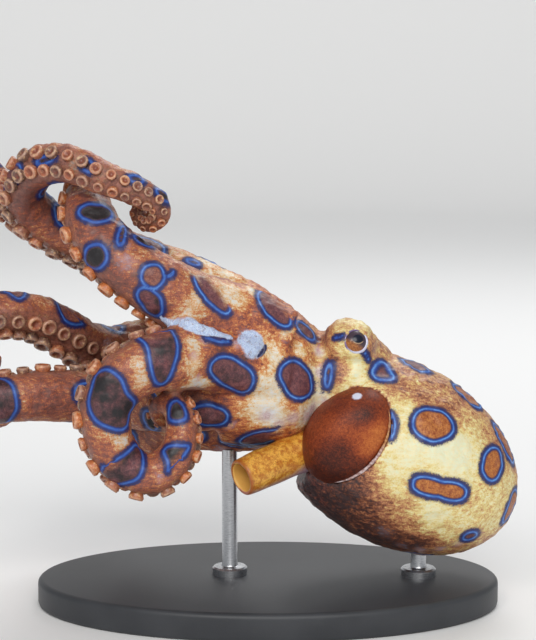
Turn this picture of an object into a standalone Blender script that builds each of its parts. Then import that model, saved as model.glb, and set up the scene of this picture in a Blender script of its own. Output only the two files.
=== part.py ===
"""A blue ringed octopus, life size, swimming backwards, held by a plain display stand.

The origin is the centre of the stand's underside. +Z is up, the arms trail towards -X,
the mantle leads towards +X and down, and the left side of the animal faces -Y.
Sizes below are in millimetres, and mesh_object() turns them into metres.
"""
import math

import bmesh
import bpy
import numpy as np

MM = 0.001
GAP = 0.3

# Stand: an oval plate and two slim rods
BASE_LONG = 84.0
BASE_WIDE = 52.0
BASE_THICK = 5.0
BASE_EDGE = 1.0
ROD_RADIUS = 1.4
ROD_FLANGE_RADIUS = 3.2
ROD_FLANGE_THICK = 1.2
MANTLE_ROD_AT = (27.5, 0.0)
CROWN_ROD_AT = (-7.0, 1.0)

# Mantle: an ellipsoid bag whose axis runs back and down, cut square at its open front
MANTLE_FRONT = np.array([12.0, 0.0, 34.1])
MANTLE_AXIS = np.array([0.866, 0.0, -0.5])
MANTLE_LONG = 24.1
MANTLE_HIGH = 16.5
MANTLE_DEEP = 15.6
FRONT_TO_MIDDLE = 12.6
LIP_RADIUS = 0.55

# Collar: the smooth bulge at the root of the funnel, seated in the mantle's opening
COLLAR_MIDDLE = np.array([13.5, 0.0, 32.8])
COLLAR_LEAN = 11.0
COLLAR_NEAR = -5.0
COLLAR_SEMI = (6.2, 8.9, 11.5)
OPENING_NEAR = -6.0
OPENING_SEMI = (6.8, 9.6, 13.8)

# Funnel: a short hollow tube that points forward, down and towards the left side
FUNNEL_TIP = np.array([-4.7, -13.5, 25.9])
FUNNEL_AIM = np.array([-0.80, -0.55, -0.24])
FUNNEL_LONG = 20.0
FUNNEL_BASE_RADIUS = 4.3
FUNNEL_TIP_RADIUS = 3.25
FUNNEL_WALL = 0.75
FUNNEL_BORE_DEPTH = 13.0

# Head and eyes
HEAD_MIDDLE = np.array([13.6, 0.0, 41.1])
HEAD_SEMI = (10.0, 9.8, 9.6)
HEAD_FRONT_X = 9.0
LEFTWARD = np.array([0.15, -0.88, 0.45])
EYE_BUMP = np.array([14.4, -4.6, 47.9])
EYE_BUMP_RADIUS = 4.9
EYE_AIM = np.array([0.22, -0.90, 0.30])
EYE_RADIUS = 2.5
EYE_SET = 3.0

# Crown: the bell of flesh round the mouth, (x, middle z, radius) from the head to the arms
CROWN_BELL = [(8.7, 41.7, 8.6), (5.8, 41.7, 11.4), (3.0, 41.8, 12.6), (-1.0, 42.6, 13.6),
              (-5.0, 43.2, 14.2), (-8.6, 43.8, 14.0)]
MOUTH_MIDDLE_Z = 43.0
MOUTH_FLOOR_X = 0.5
MOUTH_FLOOR_RADIUS = 3.2
MOUTH_OPEN_RADIUS = 9.0
MOUTH_RADIUS = 2.3

# Arms: root radius, taper power, where the crown ends, the cuts between lengths, the stem's
# points, the side that bears the suckers at some of those points, and the curl of the end
ARM_STEP = 0.5
ARM_TIP_RADIUS = 0.45
ARM_SIDES = 10
ORAL_FLATNESS = 0.12
ARMS = {
    "left_arm_1": dict(
        radius=5.6, taper=0.42, crown=17.5, cuts=(44, 70),
        stem=[(1.5, 0.5, 49.5), (-5, 0.5, 54), (-10, 0.5, 56.5), (-14, 0.5, 58.5), (-21.5, 2.5, 61.5),
              (-31, 4.5, 65), (-39.5, 3, 69), (-43.5, -1, 74), (-41, -6, 79), (-35, -10.5, 80.5),
              (-29, -13, 78.5), (-24, -13, 76.5), (-20, -12, 74.5)],
        oral={4: (-0.3, 0.1, -0.95), 5: (-0.5, 0.1, -0.85), 6: (-0.75, 0, -0.65), 7: (-0.97, -0.2, -0.1),
              8: (-0.65, -0.7, 0.3), 9: (-0.2, -0.97, 0.1), 10: (0, -1, -0.1), 12: (0, -1, -0.1)},
        curl=dict(axis=(0.1, 1, 0.1), long=13, bend=1.3, drift=0.12)),
    "left_arm_2": dict(
        radius=6.9, taper=0.34, crown=25.5, cuts=(44,),
        stem=[(1.5, -6, 48.5), (-5, -8, 52.5), (-10, -9.5, 54.5), (-13.5, -11, 56), (-21, -13, 60.5),
              (-27.5, -12, 65.5), (-31, -9, 70.5), (-32, -5, 73.5)],
        oral={4: (-0.5, 0.2, -0.85), 5: (-0.7, 0.1, -0.7), 6: (-0.9, 0.05, -0.4), 7: (-1, 0.1, -0.1)},
        curl=dict(axis=(-0.5, 0.85, 0.1), long=16, bend=1.3, drift=-0.02)),
    "left_arm_3": dict(
        radius=6.2, taper=0.45, crown=25.5, cuts=(38, 50, 63),
        stem=[(1.5, -8, 43.5), (-5, -11, 45.5), (-9.5, -13.5, 47), (-13.5, -16.5, 47.5),
              (-18.5, -20, 47.5), (-23, -21.5, 46), (-27, -22, 41.5), (-27.5, -22, 36),
              (-25.5, -21.5, 31), (-20.5, -21, 28), (-16, -20.5, 30.5), (-14.5, -19.5, 35),
              (-15, -18.5, 38)],
        oral={3: (0, 0.98, -0.1), 4: (0, 0.8, 0.6), 5: (-0.5, 0.35, 0.8), 6: (-0.93, 0.2, 0.3),
              7: (-0.95, 0.2, -0.2), 8: (-0.7, 0.2, -0.7), 9: (0, 0.2, -1), 10: (0.8, 0.2, -0.6),
              11: (0.98, 0.2, 0), 12: (0.95, 0.2, 0.3)},
        curl=dict(axis=(-0.15, -1, 0), long=12, bend=1.15, drift=-0.2)),
    "left_arm_4": dict(
        radius=6.1, taper=0.30, crown=17.5, cuts=(38, 58),
        stem=[(1.5, -5.5, 39), (-5, -6.5, 39), (-10, -7, 39), (-14, -6, 38.5), (-21, -1.5, 37.5),
              (-28.5, 1, 38), (-35.5, -1, 38.5), (-42.5, -4, 39), (-48.5, -6, 38.5)],
        oral={4: (0, 0.5, 0.87), 8: (0, 0.45, 0.9)},
        curl=dict(axis=(0.1, -0.35, -1), long=26, bend=1.55, drift=-0.06)),
    "right_arm_4": dict(
        radius=5.6, taper=0.42, crown=17.5, cuts=(37,),
        stem=[(1.5, 1, 34), (-5, 2, 33), (-10.5, 3.5, 32.5), (-14.5, 5.5, 32), (-20, 8.5, 30),
              (-26, 12, 29.5)],
        oral={4: (0, 0, 1), 5: (0, 0, 1)},
        curl=dict(axis=(0.1, -1, 0.15), long=27, bend=1.6, drift=-0.15)),
    "right_arm_3": dict(
        radius=5.6, taper=0.42, crown=17.5, cuts=(37,),
        stem=[(1.5, 6, 37), (-5, 9.5, 36.5), (-10.5, 13, 35.5), (-15, 16.5, 35), (-21.5, 20.5, 34.5),
              (-27.5, 23.5, 35)],
        oral={4: (0, -0.5, 0.85), 5: (0, -0.4, 0.9)},
        curl=dict(axis=(0.1, -1, 0.1), long=26, bend=1.6, drift=-0.1)),
    "right_arm_2": dict(
        radius=5.8, taper=0.33, crown=17.5, cuts=(42, 64),
        stem=[(1.5, 8.5, 42), (-5, 12, 43.5), (-10.5, 15.5, 45), (-15, 18, 46), (-22.5, 19, 45),
              (-29, 16, 44), (-33.5, 11.5, 45.5), (-38, 7.5, 49), (-42.5, 4.5, 52), (-47.5, 1.5, 53),
              (-52, 0, 52.5)],
        oral={4: (0, -1, 0), 6: (0.3, -0.85, -0.4), 8: (0.1, -0.8, -0.6), 10: (0, -0.75, -0.65)},
        curl=dict(axis=(0.1, -0.85, -0.55), long=22, bend=1.8, drift=-0.15)),
    "right_arm_1": dict(
        radius=5.6, taper=0.36, crown=17.5, cuts=(43, 66),
        stem=[(1.5, 6.5, 47), (-5, 9, 51.5), (-10.5, 11, 54), (-14.5, 12.5, 56.5), (-22, 15, 59),
              (-31.5, 16.5, 63), (-40.5, 16, 68), (-47.5, 13, 73), (-52, 10, 77.5)],
        oral={4: (-0.3, -0.4, -0.85), 8: (-0.5, -0.3, -0.8)},
        curl=dict(axis=(0.1, -1, 0.2), long=25, bend=1.6, drift=-0.08)),
}
LENGTH_NAMES = {1: ("tip",), 2: ("base", "tip"), 3: ("base", "middle", "tip"),
                4: ("base", "middle", "outer", "tip")}

# Suckers: two rows that alternate, from the mouth to the arm's tip
SUCKER_SHARE = 0.34
SUCKER_MOST = 1.45
SUCKER_LEAST = 0.5
SUCKER_PITCH = 1.16
SUCKER_START = 11.0
SUCKER_LEAN = 27.0
SUCKER_SIDES = 6
CUP_SHARE = 0.62
CUT_MARGIN = 1.2

COLOURS = {
    "skin": ((0.62, 0.36, 0.16), 0.42),
    "collar": ((0.30, 0.11, 0.04), 0.35),
    "funnel": ((0.80, 0.46, 0.10), 0.38),
    "eye": ((0.02, 0.02, 0.04), 0.12),
    "mouth": ((0.42, 0.24, 0.16), 0.45),
    "base": ((0.055, 0.06, 0.065), 0.45),
    "steel": ((0.62, 0.62, 0.64), 0.28),
}
METALLIC = {"steel": 1.0}


def unit(v):
    v = np.asarray(v, float)
    return v / np.linalg.norm(v)


def clear_scene():
    for obj in list(bpy.data.objects):
        bpy.data.objects.remove(obj, do_unlink=True)


def new_collection(name):
    collection = bpy.data.collections.new(name)
    bpy.context.scene.collection.children.link(collection)
    return collection


def material(name):
    """The named finish, made on first use."""
    found = bpy.data.materials.get(name)
    if found:
        return found
    colour, rough = COLOURS[name]
    made = bpy.data.materials.new(name)
    made.use_nodes = True
    shader = made.node_tree.nodes["Principled BSDF"]
    shader.inputs["Base Color"].default_value = (*colour, 1)
    shader.inputs["Roughness"].default_value = rough
    shader.inputs["Metallic"].default_value = METALLIC.get(name, 0.0)
    return made


def mesh_object(name, points, faces, finish=None, collection=None):
    """An object from points in millimetres, its faces turned outwards."""
    mesh = bpy.data.meshes.new(name)
    mesh.from_pydata([tuple(MM * c for c in p) for p in points], [], faces)
    shape = bmesh.new()
    shape.from_mesh(mesh)
    bmesh.ops.recalc_face_normals(shape, faces=shape.faces)
    shape.to_mesh(mesh)
    shape.free()
    obj = bpy.data.objects.new(name, mesh)
    (collection or TOOLS).objects.link(obj)
    if finish:
        mesh.materials.append(material(finish))
    return obj


def loft(rings, close_end=None):
    """Points and faces of a closed skin over rings of equal count, with flat ends or a pointed end."""
    count = len(rings[0])
    points = [tuple(p) for ring in rings for p in ring]
    faces = [tuple(reversed(range(count)))]
    for k in range(len(rings) - 1):
        for i in range(count):
            j = (i + 1) % count
            a, b = k * count, (k + 1) * count
            faces.append((a + i, a + j, b + j, b + i))
    last = (len(rings) - 1) * count
    if close_end is None:
        faces.append(tuple(range(last, last + count)))
    else:
        points.append(tuple(close_end))
        faces += [(last + i, last + (i + 1) % count, len(points) - 1) for i in range(count)]
    return points, faces


def ellipsoid(name, middle, axes, semi, around=22, along=12, grow=0.0):
    """A closed ellipsoid on three unit axes, the first one running from pole to pole."""
    a, b, c = (np.asarray(v, float) for v in axes)
    sa, sb, sc = (s + grow for s in semi)
    rings = []
    for k in range(1, along):
        t = math.pi * k / along
        ring = []
        for i in range(around):
            u = 2 * math.pi * i / around
            ring.append(middle - a * sa * math.cos(t) + (b * sb * math.cos(u) + c * sc * math.sin(u))
                        * math.sin(t))
        rings.append(ring)
    points = [tuple(middle - a * sa)] + [tuple(p) for ring in rings for p in ring] + [tuple(middle + a * sa)]
    faces = [(0, 1 + (i + 1) % around, 1 + i) for i in range(around)]
    for k in range(along - 2):
        for i in range(around):
            j = (i + 1) % around
            p, q = 1 + k * around, 1 + (k + 1) * around
            faces.append((p + i, p + j, q + j, q + i))
    p = 1 + (along - 2) * around
    faces += [(p + i, p + (i + 1) % around, len(points) - 1) for i in range(around)]
    return mesh_object(name, points, faces)


def cut_flat(obj, point, normal):
    """Keeps what lies behind the plane and closes the cut with a flat face."""
    shape = bmesh.new()
    shape.from_mesh(obj.data)
    found = bmesh.ops.bisect_plane(shape, geom=shape.verts[:] + shape.edges[:] + shape.faces[:],
                                   plane_co=np.asarray(point) * MM, plane_no=unit(normal), clear_outer=True)
    rim = [e for e in found["geom_cut"] if isinstance(e, bmesh.types.BMEdge)]
    bmesh.ops.contextual_create(shape, geom=rim)
    bmesh.ops.recalc_face_normals(shape, faces=shape.faces)
    shape.to_mesh(obj.data)
    shape.free()


def keep_largest(mesh):
    """Drops every closed surface of the mesh but the largest."""
    shape = bmesh.new()
    shape.from_mesh(mesh)
    bmesh.ops.remove_doubles(shape, verts=shape.verts, dist=1e-7)
    left, shells = set(shape.faces), []
    while left:
        shell, edge = set(), [left.pop()]
        while edge:
            face = edge.pop()
            shell.add(face)
            for rim in face.edges:
                for other in rim.link_faces:
                    if other in left:
                        left.remove(other)
                        edge.append(other)
        shells.append(shell)
    shells.sort(key=lambda shell: sum(f.calc_area() for f in shell))
    for shell in shells[:-1]:
        bmesh.ops.delete(shape, geom=list(shell), context="FACES")
    bmesh.ops.triangulate(shape, faces=shape.faces)
    shape.to_mesh(mesh)
    shape.free()


def combine(obj, others, operation, solver="EXACT"):
    """Applies one Boolean of the object with the others, removes them, and keeps the largest surface."""
    group = bpy.data.collections.new("operands")
    for other in others:
        group.objects.link(other)
    modifier = obj.modifiers.new(operation, "BOOLEAN")
    modifier.operation = operation
    modifier.operand_type = "COLLECTION"
    modifier.collection = group
    modifier.solver = solver
    bpy.context.view_layer.update()
    graph = bpy.context.evaluated_depsgraph_get()
    made = bpy.data.meshes.new_from_object(obj.evaluated_get(graph))
    obj.modifiers.clear()
    made.materials.clear()
    for kept in obj.data.materials:
        made.materials.append(kept)
    obj.data = made
    made.polygons.foreach_set("material_index", [0] * len(made.polygons))
    keep_largest(made)
    for other in others:
        bpy.data.objects.remove(other, do_unlink=True)
    bpy.data.collections.remove(group)


def finish_node(obj, name, finish, angle=40):
    """Names the object, gives it its finish and puts it among the parts, shaded smooth."""
    obj.name = name
    obj.data.name = name
    obj.data.materials.clear()
    obj.data.materials.append(material(finish))
    for old in list(obj.users_collection):
        old.objects.unlink(obj)
    PARTS.objects.link(obj)
    obj.data.shade_smooth()
    obj.data.set_sharp_from_angle(angle=math.radians(angle))
    return obj


def smooth_path(points):
    """A centripetal Catmull-Rom curve through the points, resampled evenly by length."""
    p = [np.array(q, float) for q in points]
    p = [2 * p[0] - p[1]] + p + [2 * p[-1] - p[-2]]
    found = []
    for i in range(1, len(p) - 2):
        p0, p1, p2, p3 = p[i - 1:i + 3]
        t0 = 0.0
        t1 = t0 + math.sqrt(np.linalg.norm(p1 - p0))
        t2 = t1 + math.sqrt(np.linalg.norm(p2 - p1))
        t3 = t2 + math.sqrt(np.linalg.norm(p3 - p2))
        for t in np.linspace(t1, t2, 24, endpoint=False):
            a1 = (t1 - t) / (t1 - t0) * p0 + (t - t0) / (t1 - t0) * p1
            a2 = (t2 - t) / (t2 - t1) * p1 + (t - t1) / (t2 - t1) * p2
            a3 = (t3 - t) / (t3 - t2) * p2 + (t - t2) / (t3 - t2) * p3
            b1 = (t2 - t) / (t2 - t0) * a1 + (t - t0) / (t2 - t0) * a2
            b2 = (t3 - t) / (t3 - t1) * a2 + (t - t1) / (t3 - t1) * a3
            found.append((t2 - t) / (t2 - t1) * b1 + (t - t1) / (t2 - t1) * b2)
    found = np.array(found + [p[-2]])
    along = np.r_[0, np.cumsum(np.linalg.norm(np.diff(found, axis=0), axis=1))]
    even = np.arange(0, along[-1], ARM_STEP)
    return np.stack([np.interp(even, along, found[:, k]) for k in range(3)], 1)


def turned(v, axis, angle):
    c, s = math.cos(angle), math.sin(angle)
    return v * c + np.cross(axis, v) * s + axis * (axis @ v) * (1 - c)


class Arm:
    """The centre line of one arm with its radius, direction and sucker side at every step."""

    def __init__(self, radius, taper, crown, cuts, stem, oral, curl):
        self.crown, self.cuts, self.root, self.taper = crown, cuts, radius, taper
        path = smooth_path(stem)
        self.long = (len(path) - 1) * ARM_STEP + curl["long"]
        facing = self.stem_facing(path, stem, oral)
        self.path, self.facing = self.with_curl(path, facing, **curl)
        self.tangent = np.gradient(self.path, axis=0)
        self.tangent /= np.linalg.norm(self.tangent, axis=1)[:, None]
        self.facing -= self.tangent * (self.facing * self.tangent).sum(1)[:, None]
        self.facing /= np.linalg.norm(self.facing, axis=1)[:, None]
        self.long = (len(self.path) - 1) * ARM_STEP

    @staticmethod
    def stem_facing(path, stem, oral):
        """Towards the mouth's axis at the root, then through the named sides."""
        root = [k for k in range(4) if k not in oral]
        named = {k: unit([0, -stem[k][1], MOUTH_MIDDLE_Z - stem[k][2]]) for k in root}
        named.update({k: unit(v) for k, v in oral.items()})
        keys = sorted(named)
        place = [int(np.argmin(np.linalg.norm(path - np.array(stem[k], float), axis=1))) for k in keys]
        sides = np.array([named[k] for k in keys])
        steps = np.arange(len(path))
        return np.stack([np.interp(steps, place, sides[:, c]) for c in range(3)], 1)

    def radius(self, s):
        share = np.clip(1 - np.asarray(s, float) / self.long, 0, 1)
        return np.maximum(self.root * share ** self.taper, ARM_TIP_RADIUS)

    def with_curl(self, path, facing, axis, long, bend, drift):
        """Goes on past the stem in a curl whose bends tighten as the arm thins."""
        axis = unit(axis)
        heading = unit(path[-1] - path[-2])
        side = facing[-1]
        place, s = path[-1], (len(path) - 1) * ARM_STEP
        places, sides = [], []
        while s < self.long - ARM_STEP / 2:
            angle = ARM_STEP / (bend * float(self.radius(s)))
            heading, side = turned(heading, axis, angle), turned(side, axis, angle)
            place = place + ARM_STEP * unit(heading + drift * axis)
            s += ARM_STEP
            places.append(place)
            sides.append(side)
        return np.vstack([path, places]), np.vstack([facing, sides])

    def at(self, s):
        """Place, heading, sucker side, cross direction and radius at a length from the root."""
        k = s / ARM_STEP
        i = min(int(k), len(self.path) - 2)
        w = k - i
        place = self.path[i] * (1 - w) + self.path[i + 1] * w
        heading = unit(self.tangent[i] * (1 - w) + self.tangent[i + 1] * w)
        facing = self.facing[i] * (1 - w) + self.facing[i + 1] * w
        facing = unit(facing - heading * (heading @ facing))
        return place, heading, facing, np.cross(heading, facing), float(self.radius(s))

    def ring(self, s, share=1.0):
        place, _, facing, across, r = self.at(s)
        ring = []
        for i in range(ARM_SIDES):
            u = 2 * math.pi * (i + 0.5) / ARM_SIDES
            flat = 1 - ORAL_FLATNESS * max(0.0, math.cos(u))
            ring.append(place + share * r * flat * (facing * math.cos(u) + across * math.sin(u)))
        return ring

    def stations(self, start, end):
        """Ring places, closer together where the arm is thin."""
        found = [start]
        while found[-1] < end:
            found.append(found[-1] + min(3.4, max(1.2, 0.7 * float(self.radius(found[-1])))))
        scale = (end - start) / (found[-1] - start)
        return [start + (s - start) * scale for s in found]

    def tube(self, name, start, end):
        """The flesh of one length: flat where it is cut, rounded at the arm's very end."""
        last = end > self.long - ARM_STEP
        end = self.long - 0.4 if last else end
        rings = [self.ring(s) for s in self.stations(start, end)]
        tip = self.path[-1] if last else None
        return mesh_object(name, *loft(rings, tip))

    def sucker_places(self):
        """(length from the root, side, radius) of each sucker, in two alternating rows."""
        s, side, found = SUCKER_START, 1, []
        while s < self.long - 1.2:
            size = min(SUCKER_MOST, max(SUCKER_LEAST, SUCKER_SHARE * float(self.radius(s))))
            near_mouth = min(1.0, 0.55 + (s - SUCKER_START) / 16)
            size *= near_mouth
            found.append((s, side, size))
            s += 2 * SUCKER_PITCH * size * (1.06 if side > 0 else 0.98)
            side = -side
        return found

    def suckers(self, start, end):
        """Closed sucker pieces with their roots sunk in the flesh between two lengths."""
        made = []
        for s, side, size in self.sucker_places():
            clear = s < end - CUT_MARGIN * size or end > self.long - 1
            if clear and s > start + CUT_MARGIN * size:
                made.append(self.sucker(s, side, size))
        return made

    def sucker(self, s, side, size):
        place, heading, facing, across, r = self.at(s)
        lean = math.radians(SUCKER_LEAN) * side
        up = facing * math.cos(lean) + across * math.sin(lean)
        cross = np.cross(heading, up)
        foot = place + up * r * (1 - ORAL_FLATNESS)
        cup = s < 0.5 * self.long
        profile = [(0.78, -0.55), (1.0, 0.55)] + ([(CUP_SHARE, 0.62)] if cup else [])
        rings = []
        for wide, high in profile:
            ring = []
            for i in range(SUCKER_SIDES):
                u = 2 * math.pi * i / SUCKER_SIDES
                spoke = heading * math.cos(u) + cross * math.sin(u)
                ring.append(foot + size * (wide * spoke + high * up))
            rings.append(ring)
        return mesh_object("sucker", *loft(rings, foot + size * 0.18 * up))


def mantle_axes():
    axis = unit(MANTLE_AXIS)
    down = unit([axis[2], 0, -axis[0]])
    return axis, down, np.array([0.0, 1.0, 0.0])


def opening_frame(near):
    """The middle and axes of the oval opening, which leans further forward than the mantle's front."""
    lean = math.radians(COLLAR_LEAN)
    axis, down, away = (turned(v, np.array([0.0, 1.0, 0.0]), lean) for v in mantle_axes())
    return COLLAR_MIDDLE + near * away, (axis, down, away)


def make_lip(axes):
    """The thin rolled edge of the mantle where the opening cuts the left side."""
    axis, down, away = axes
    middle = MANTLE_FRONT + axis * FRONT_TO_MIDDLE
    cutter, (across, along, _) = opening_frame(OPENING_NEAR)
    rim = []
    for k in range(25):
        turn = math.radians(-112 + 224 * k / 24)
        ray = across * math.cos(turn) * OPENING_SEMI[0] + along * math.sin(turn) * OPENING_SEMI[1]
        low, high = 0.0, 1.0
        for _ in range(30):
            share = (low + high) / 2
            flat = cutter + ray * share
            flat[1] = cutter[1] - OPENING_SEMI[2] * math.sqrt(1 - share ** 2)
            off = flat - middle
            reach = (off @ axis / MANTLE_LONG) ** 2 + (off @ down / MANTLE_HIGH) ** 2
            reach += (off @ away / MANTLE_DEEP) ** 2
            low, high = (share, high) if reach > 1 else (low, share)
        rim.append(flat)
    rim = [p for p in rim if (p - MANTLE_FRONT) @ axis > 0.4]
    rings = []
    for k, place in enumerate(rim):
        heading = unit(rim[min(k + 1, len(rim) - 1)] - rim[max(k - 1, 0)])
        out = unit(np.cross(heading, axis))
        other = np.cross(heading, out)
        rings.append([place + LIP_RADIUS * (out * math.cos(math.pi * i / 3) + other * math.sin(math.pi * i / 3))
                      for i in range(6)])
    return mesh_object("lip", *loft(rings))


def make_mantle():
    axes = mantle_axes()
    axis, down, away = axes
    middle = MANTLE_FRONT + axis * FRONT_TO_MIDDLE
    mantle = ellipsoid("mantle", middle, (axis, down, away), (MANTLE_LONG, MANTLE_HIGH, MANTLE_DEEP), 26, 16)
    cut_flat(mantle, MANTLE_FRONT, -axis)
    opening = ellipsoid("opening", *opening_frame(OPENING_NEAR), OPENING_SEMI, 24, 12)
    combine(mantle, [opening], "DIFFERENCE")
    combine(mantle, [make_lip(axes)], "UNION")
    finish_node(mantle, "mantle", "skin")


def collar_body(name, grow=0.0):
    return ellipsoid(name, *opening_frame(COLLAR_NEAR), COLLAR_SEMI, 20, 10, grow)


def head_body(name, grow=0.0):
    return ellipsoid(name, HEAD_MIDDLE, np.eye(3), HEAD_SEMI, 22, 12, grow)


def mirrored(point):
    """The same place on the animal's right side."""
    side = unit(LEFTWARD)
    return point - 2 * ((point - HEAD_MIDDLE) @ side) * side


def eye_frames():
    """(name, bump's middle, eye's middle, aim) of the two eyes."""
    side = unit(LEFTWARD)
    aim = unit(EYE_AIM)
    other = aim - 2 * (aim @ side) * side
    right = mirrored(EYE_BUMP)
    return [("left_eye", EYE_BUMP, EYE_BUMP + aim * EYE_SET, aim),
            ("right_eye", right, right + other * EYE_SET, other)]


def make_head():
    axis = unit(MANTLE_AXIS)
    head = head_body("head")
    world = np.eye(3)
    bumps, sockets = [], []
    for name, bump, eye, aim in eye_frames():
        bumps.append(ellipsoid(name + "_bump", bump, world, [EYE_BUMP_RADIUS] * 3, 16, 10))
        sockets.append(ellipsoid(name + "_socket", eye, world, [EYE_RADIUS + GAP] * 3, 14, 8))
    combine(head, bumps, "UNION")
    combine(head, sockets + [collar_body("collar_cutter", GAP)], "DIFFERENCE")
    cut_flat(head, MANTLE_FRONT - axis * GAP, axis)
    cut_flat(head, (HEAD_FRONT_X, 0, 0), (-1, 0, 0))
    keep_largest(head.data)
    finish_node(head, "head", "skin")


def make_eyes():
    for name, _, eye, aim in eye_frames():
        side = unit(np.cross(aim, [0, 0, 1]))
        ball = ellipsoid(name, eye, (aim, side, np.cross(aim, side)), [EYE_RADIUS] * 3, 16, 9)
        finish_node(ball, name, "eye", 80)


def make_collar():
    finish_node(collar_body("collar"), "collar", "collar")


def funnel_rings(radii, places, sides=18):
    aim = unit(FUNNEL_AIM)
    side = unit(np.cross(aim, [0, 0, 1]))
    up = np.cross(side, aim)
    rings = []
    for r, t in zip(radii, places):
        turn = [2 * math.pi * i / sides for i in range(sides)]
        rings.append([FUNNEL_TIP - aim * t + r * (side * math.cos(u) + up * math.sin(u)) for u in turn])
    return rings


def funnel_clearance():
    """A tube a gap wider than the funnel, to clear what it passes."""
    reach = [FUNNEL_BASE_RADIUS + GAP] * 2
    return mesh_object("funnel_clearance", *loft(funnel_rings(reach, [FUNNEL_LONG + 2, 4])))


def make_funnel():
    """Rings up the outside to the mouth, then back down the bore."""
    aim = unit(FUNNEL_AIM)
    wide, slim = FUNNEL_BASE_RADIUS, FUNNEL_TIP_RADIUS
    middle = (wide + slim) / 2 + 0.1
    bore = slim - FUNNEL_WALL
    radii = [wide, wide - 0.15, middle, slim + 0.1, slim, slim - 0.15, bore, bore - 0.1, bore - 0.3]
    places = [FUNNEL_LONG, 0.8 * FUNNEL_LONG, 0.5 * FUNNEL_LONG, 0.2 * FUNNEL_LONG, 0.5, 0, 0.1, 3.0,
              FUNNEL_BORE_DEPTH]
    end = FUNNEL_TIP - aim * (FUNNEL_BORE_DEPTH + 0.8)
    funnel = mesh_object("funnel", *loft(funnel_rings(radii, places), end))
    combine(funnel, [collar_body("collar_cutter", GAP), head_body("head_cutter", GAP)], "DIFFERENCE")
    cut_flat(funnel, MANTLE_FRONT - unit(MANTLE_AXIS) * GAP, unit(MANTLE_AXIS))
    keep_largest(funnel.data)
    finish_node(funnel, "funnel", "funnel")


def bell_rings():
    rings = []
    for x, z, r in CROWN_BELL:
        turn = [2 * math.pi * i / 24 for i in range(24)]
        rings.append([np.array([x, 1.04 * r * math.cos(u), z + r * math.sin(u)]) for u in turn])
    return rings


def disc_ring(x, z, r, sides=16):
    return [np.array([x, r * math.cos(2 * math.pi * i / sides), z + r * math.sin(2 * math.pi * i / sides)])
            for i in range(sides)]


def make_crown(arms):
    """The bell with its mouth cavity, fused with the roots of the eight arms and their first suckers."""
    crown = mesh_object("crown", *loft(bell_rings()))
    open_x = CROWN_BELL[-1][0] - 1
    cavity = mesh_object("cavity", *loft([
        disc_ring(open_x, MOUTH_MIDDLE_Z + 1, MOUTH_OPEN_RADIUS),
        disc_ring(MOUTH_FLOOR_X, MOUTH_MIDDLE_Z, MOUTH_FLOOR_RADIUS)]))
    combine(crown, [cavity], "DIFFERENCE")
    pieces = []
    for name, arm in arms.items():
        pieces.append(arm.tube(name + "_root", 0.0, arm.crown))
        pieces += arm.suckers(0.0, arm.crown)
    combine(crown, pieces, "UNION")
    well = mesh_object("well", *loft([disc_ring(open_x, MOUTH_MIDDLE_Z, MOUTH_RADIUS + GAP),
                                      disc_ring(MOUTH_FLOOR_X, MOUTH_MIDDLE_Z, MOUTH_RADIUS + GAP)]))
    combine(crown, [collar_body("collar_cutter", GAP), funnel_clearance(), well], "DIFFERENCE")
    finish_node(crown, "crown", "skin")


def make_mouth():
    """The ring of lips with the beak's point showing in the middle of the crown."""
    x, z, r = MOUTH_FLOOR_X - GAP, MOUTH_MIDDLE_Z, MOUTH_RADIUS
    rings = [disc_ring(x, z, r), disc_ring(x - 0.8, z, r), disc_ring(x - 1.3, z, 0.75 * r),
             disc_ring(x - 0.9, z, 0.5 * r), disc_ring(x - 1.6, z, 0.25 * r)]
    mouth = mesh_object("mouth", *loft(rings, (x - 2.0, 0, z - 0.1)))
    finish_node(mouth, "mouth", "mouth")


def make_arm_lengths(name, arm):
    ends = [arm.crown, *arm.cuts, arm.long]
    labels = LENGTH_NAMES[len(ends) - 1]
    for label, start, end in zip(labels, ends, ends[1:]):
        start += GAP
        length = arm.tube(name + "_" + label, start, end)
        pieces = arm.suckers(start, end)
        if pieces:
            combine(length, pieces, "UNION")
        finish_node(length, name + "_" + label, "skin")


def oval(z, shrink=0.0, sides=48):
    turn = [2 * math.pi * i / sides for i in range(sides)]
    return [np.array([(BASE_LONG / 2 - shrink) * math.cos(u), (BASE_WIDE / 2 - shrink) * math.sin(u), z])
            for u in turn]


def make_base():
    rings = [oval(0, BASE_EDGE / 2), oval(BASE_EDGE / 2), oval(BASE_THICK - BASE_EDGE),
             oval(BASE_THICK - 0.3 * BASE_EDGE, 0.3 * BASE_EDGE), oval(BASE_THICK, BASE_EDGE)]
    finish_node(mesh_object("stand_base", *loft(rings)), "stand_base", "base", 30)


def drop_to(obj, x, y):
    """Height in millimetres of the object's underside above a place on the base."""
    found, place, _, _ = obj.ray_cast((x * MM, y * MM, 0.0), (0, 0, 1))
    return place[2] / MM


def make_rod(name, at, carried):
    """A slim rod with a foot flange, its top just short of the flesh that it carries."""
    x, y = at
    top = min(drop_to(carried, x + ROD_RADIUS * dx, y + ROD_RADIUS * dy)
              for dx in (-1, 0, 1) for dy in (-1, 0, 1)) - GAP
    foot = BASE_THICK + GAP
    profile = [(ROD_FLANGE_RADIUS, foot), (ROD_FLANGE_RADIUS, foot + ROD_FLANGE_THICK),
               (ROD_RADIUS, foot + 1.4 * ROD_FLANGE_THICK), (ROD_RADIUS, top)]
    rings = []
    for r, z in profile:
        turn = [2 * math.pi * i / 20 for i in range(20)]
        rings.append([np.array([x + r * math.cos(u), y + r * math.sin(u), z]) for u in turn])
    finish_node(mesh_object(name, *loft(rings)), name, "steel", 30)


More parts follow.
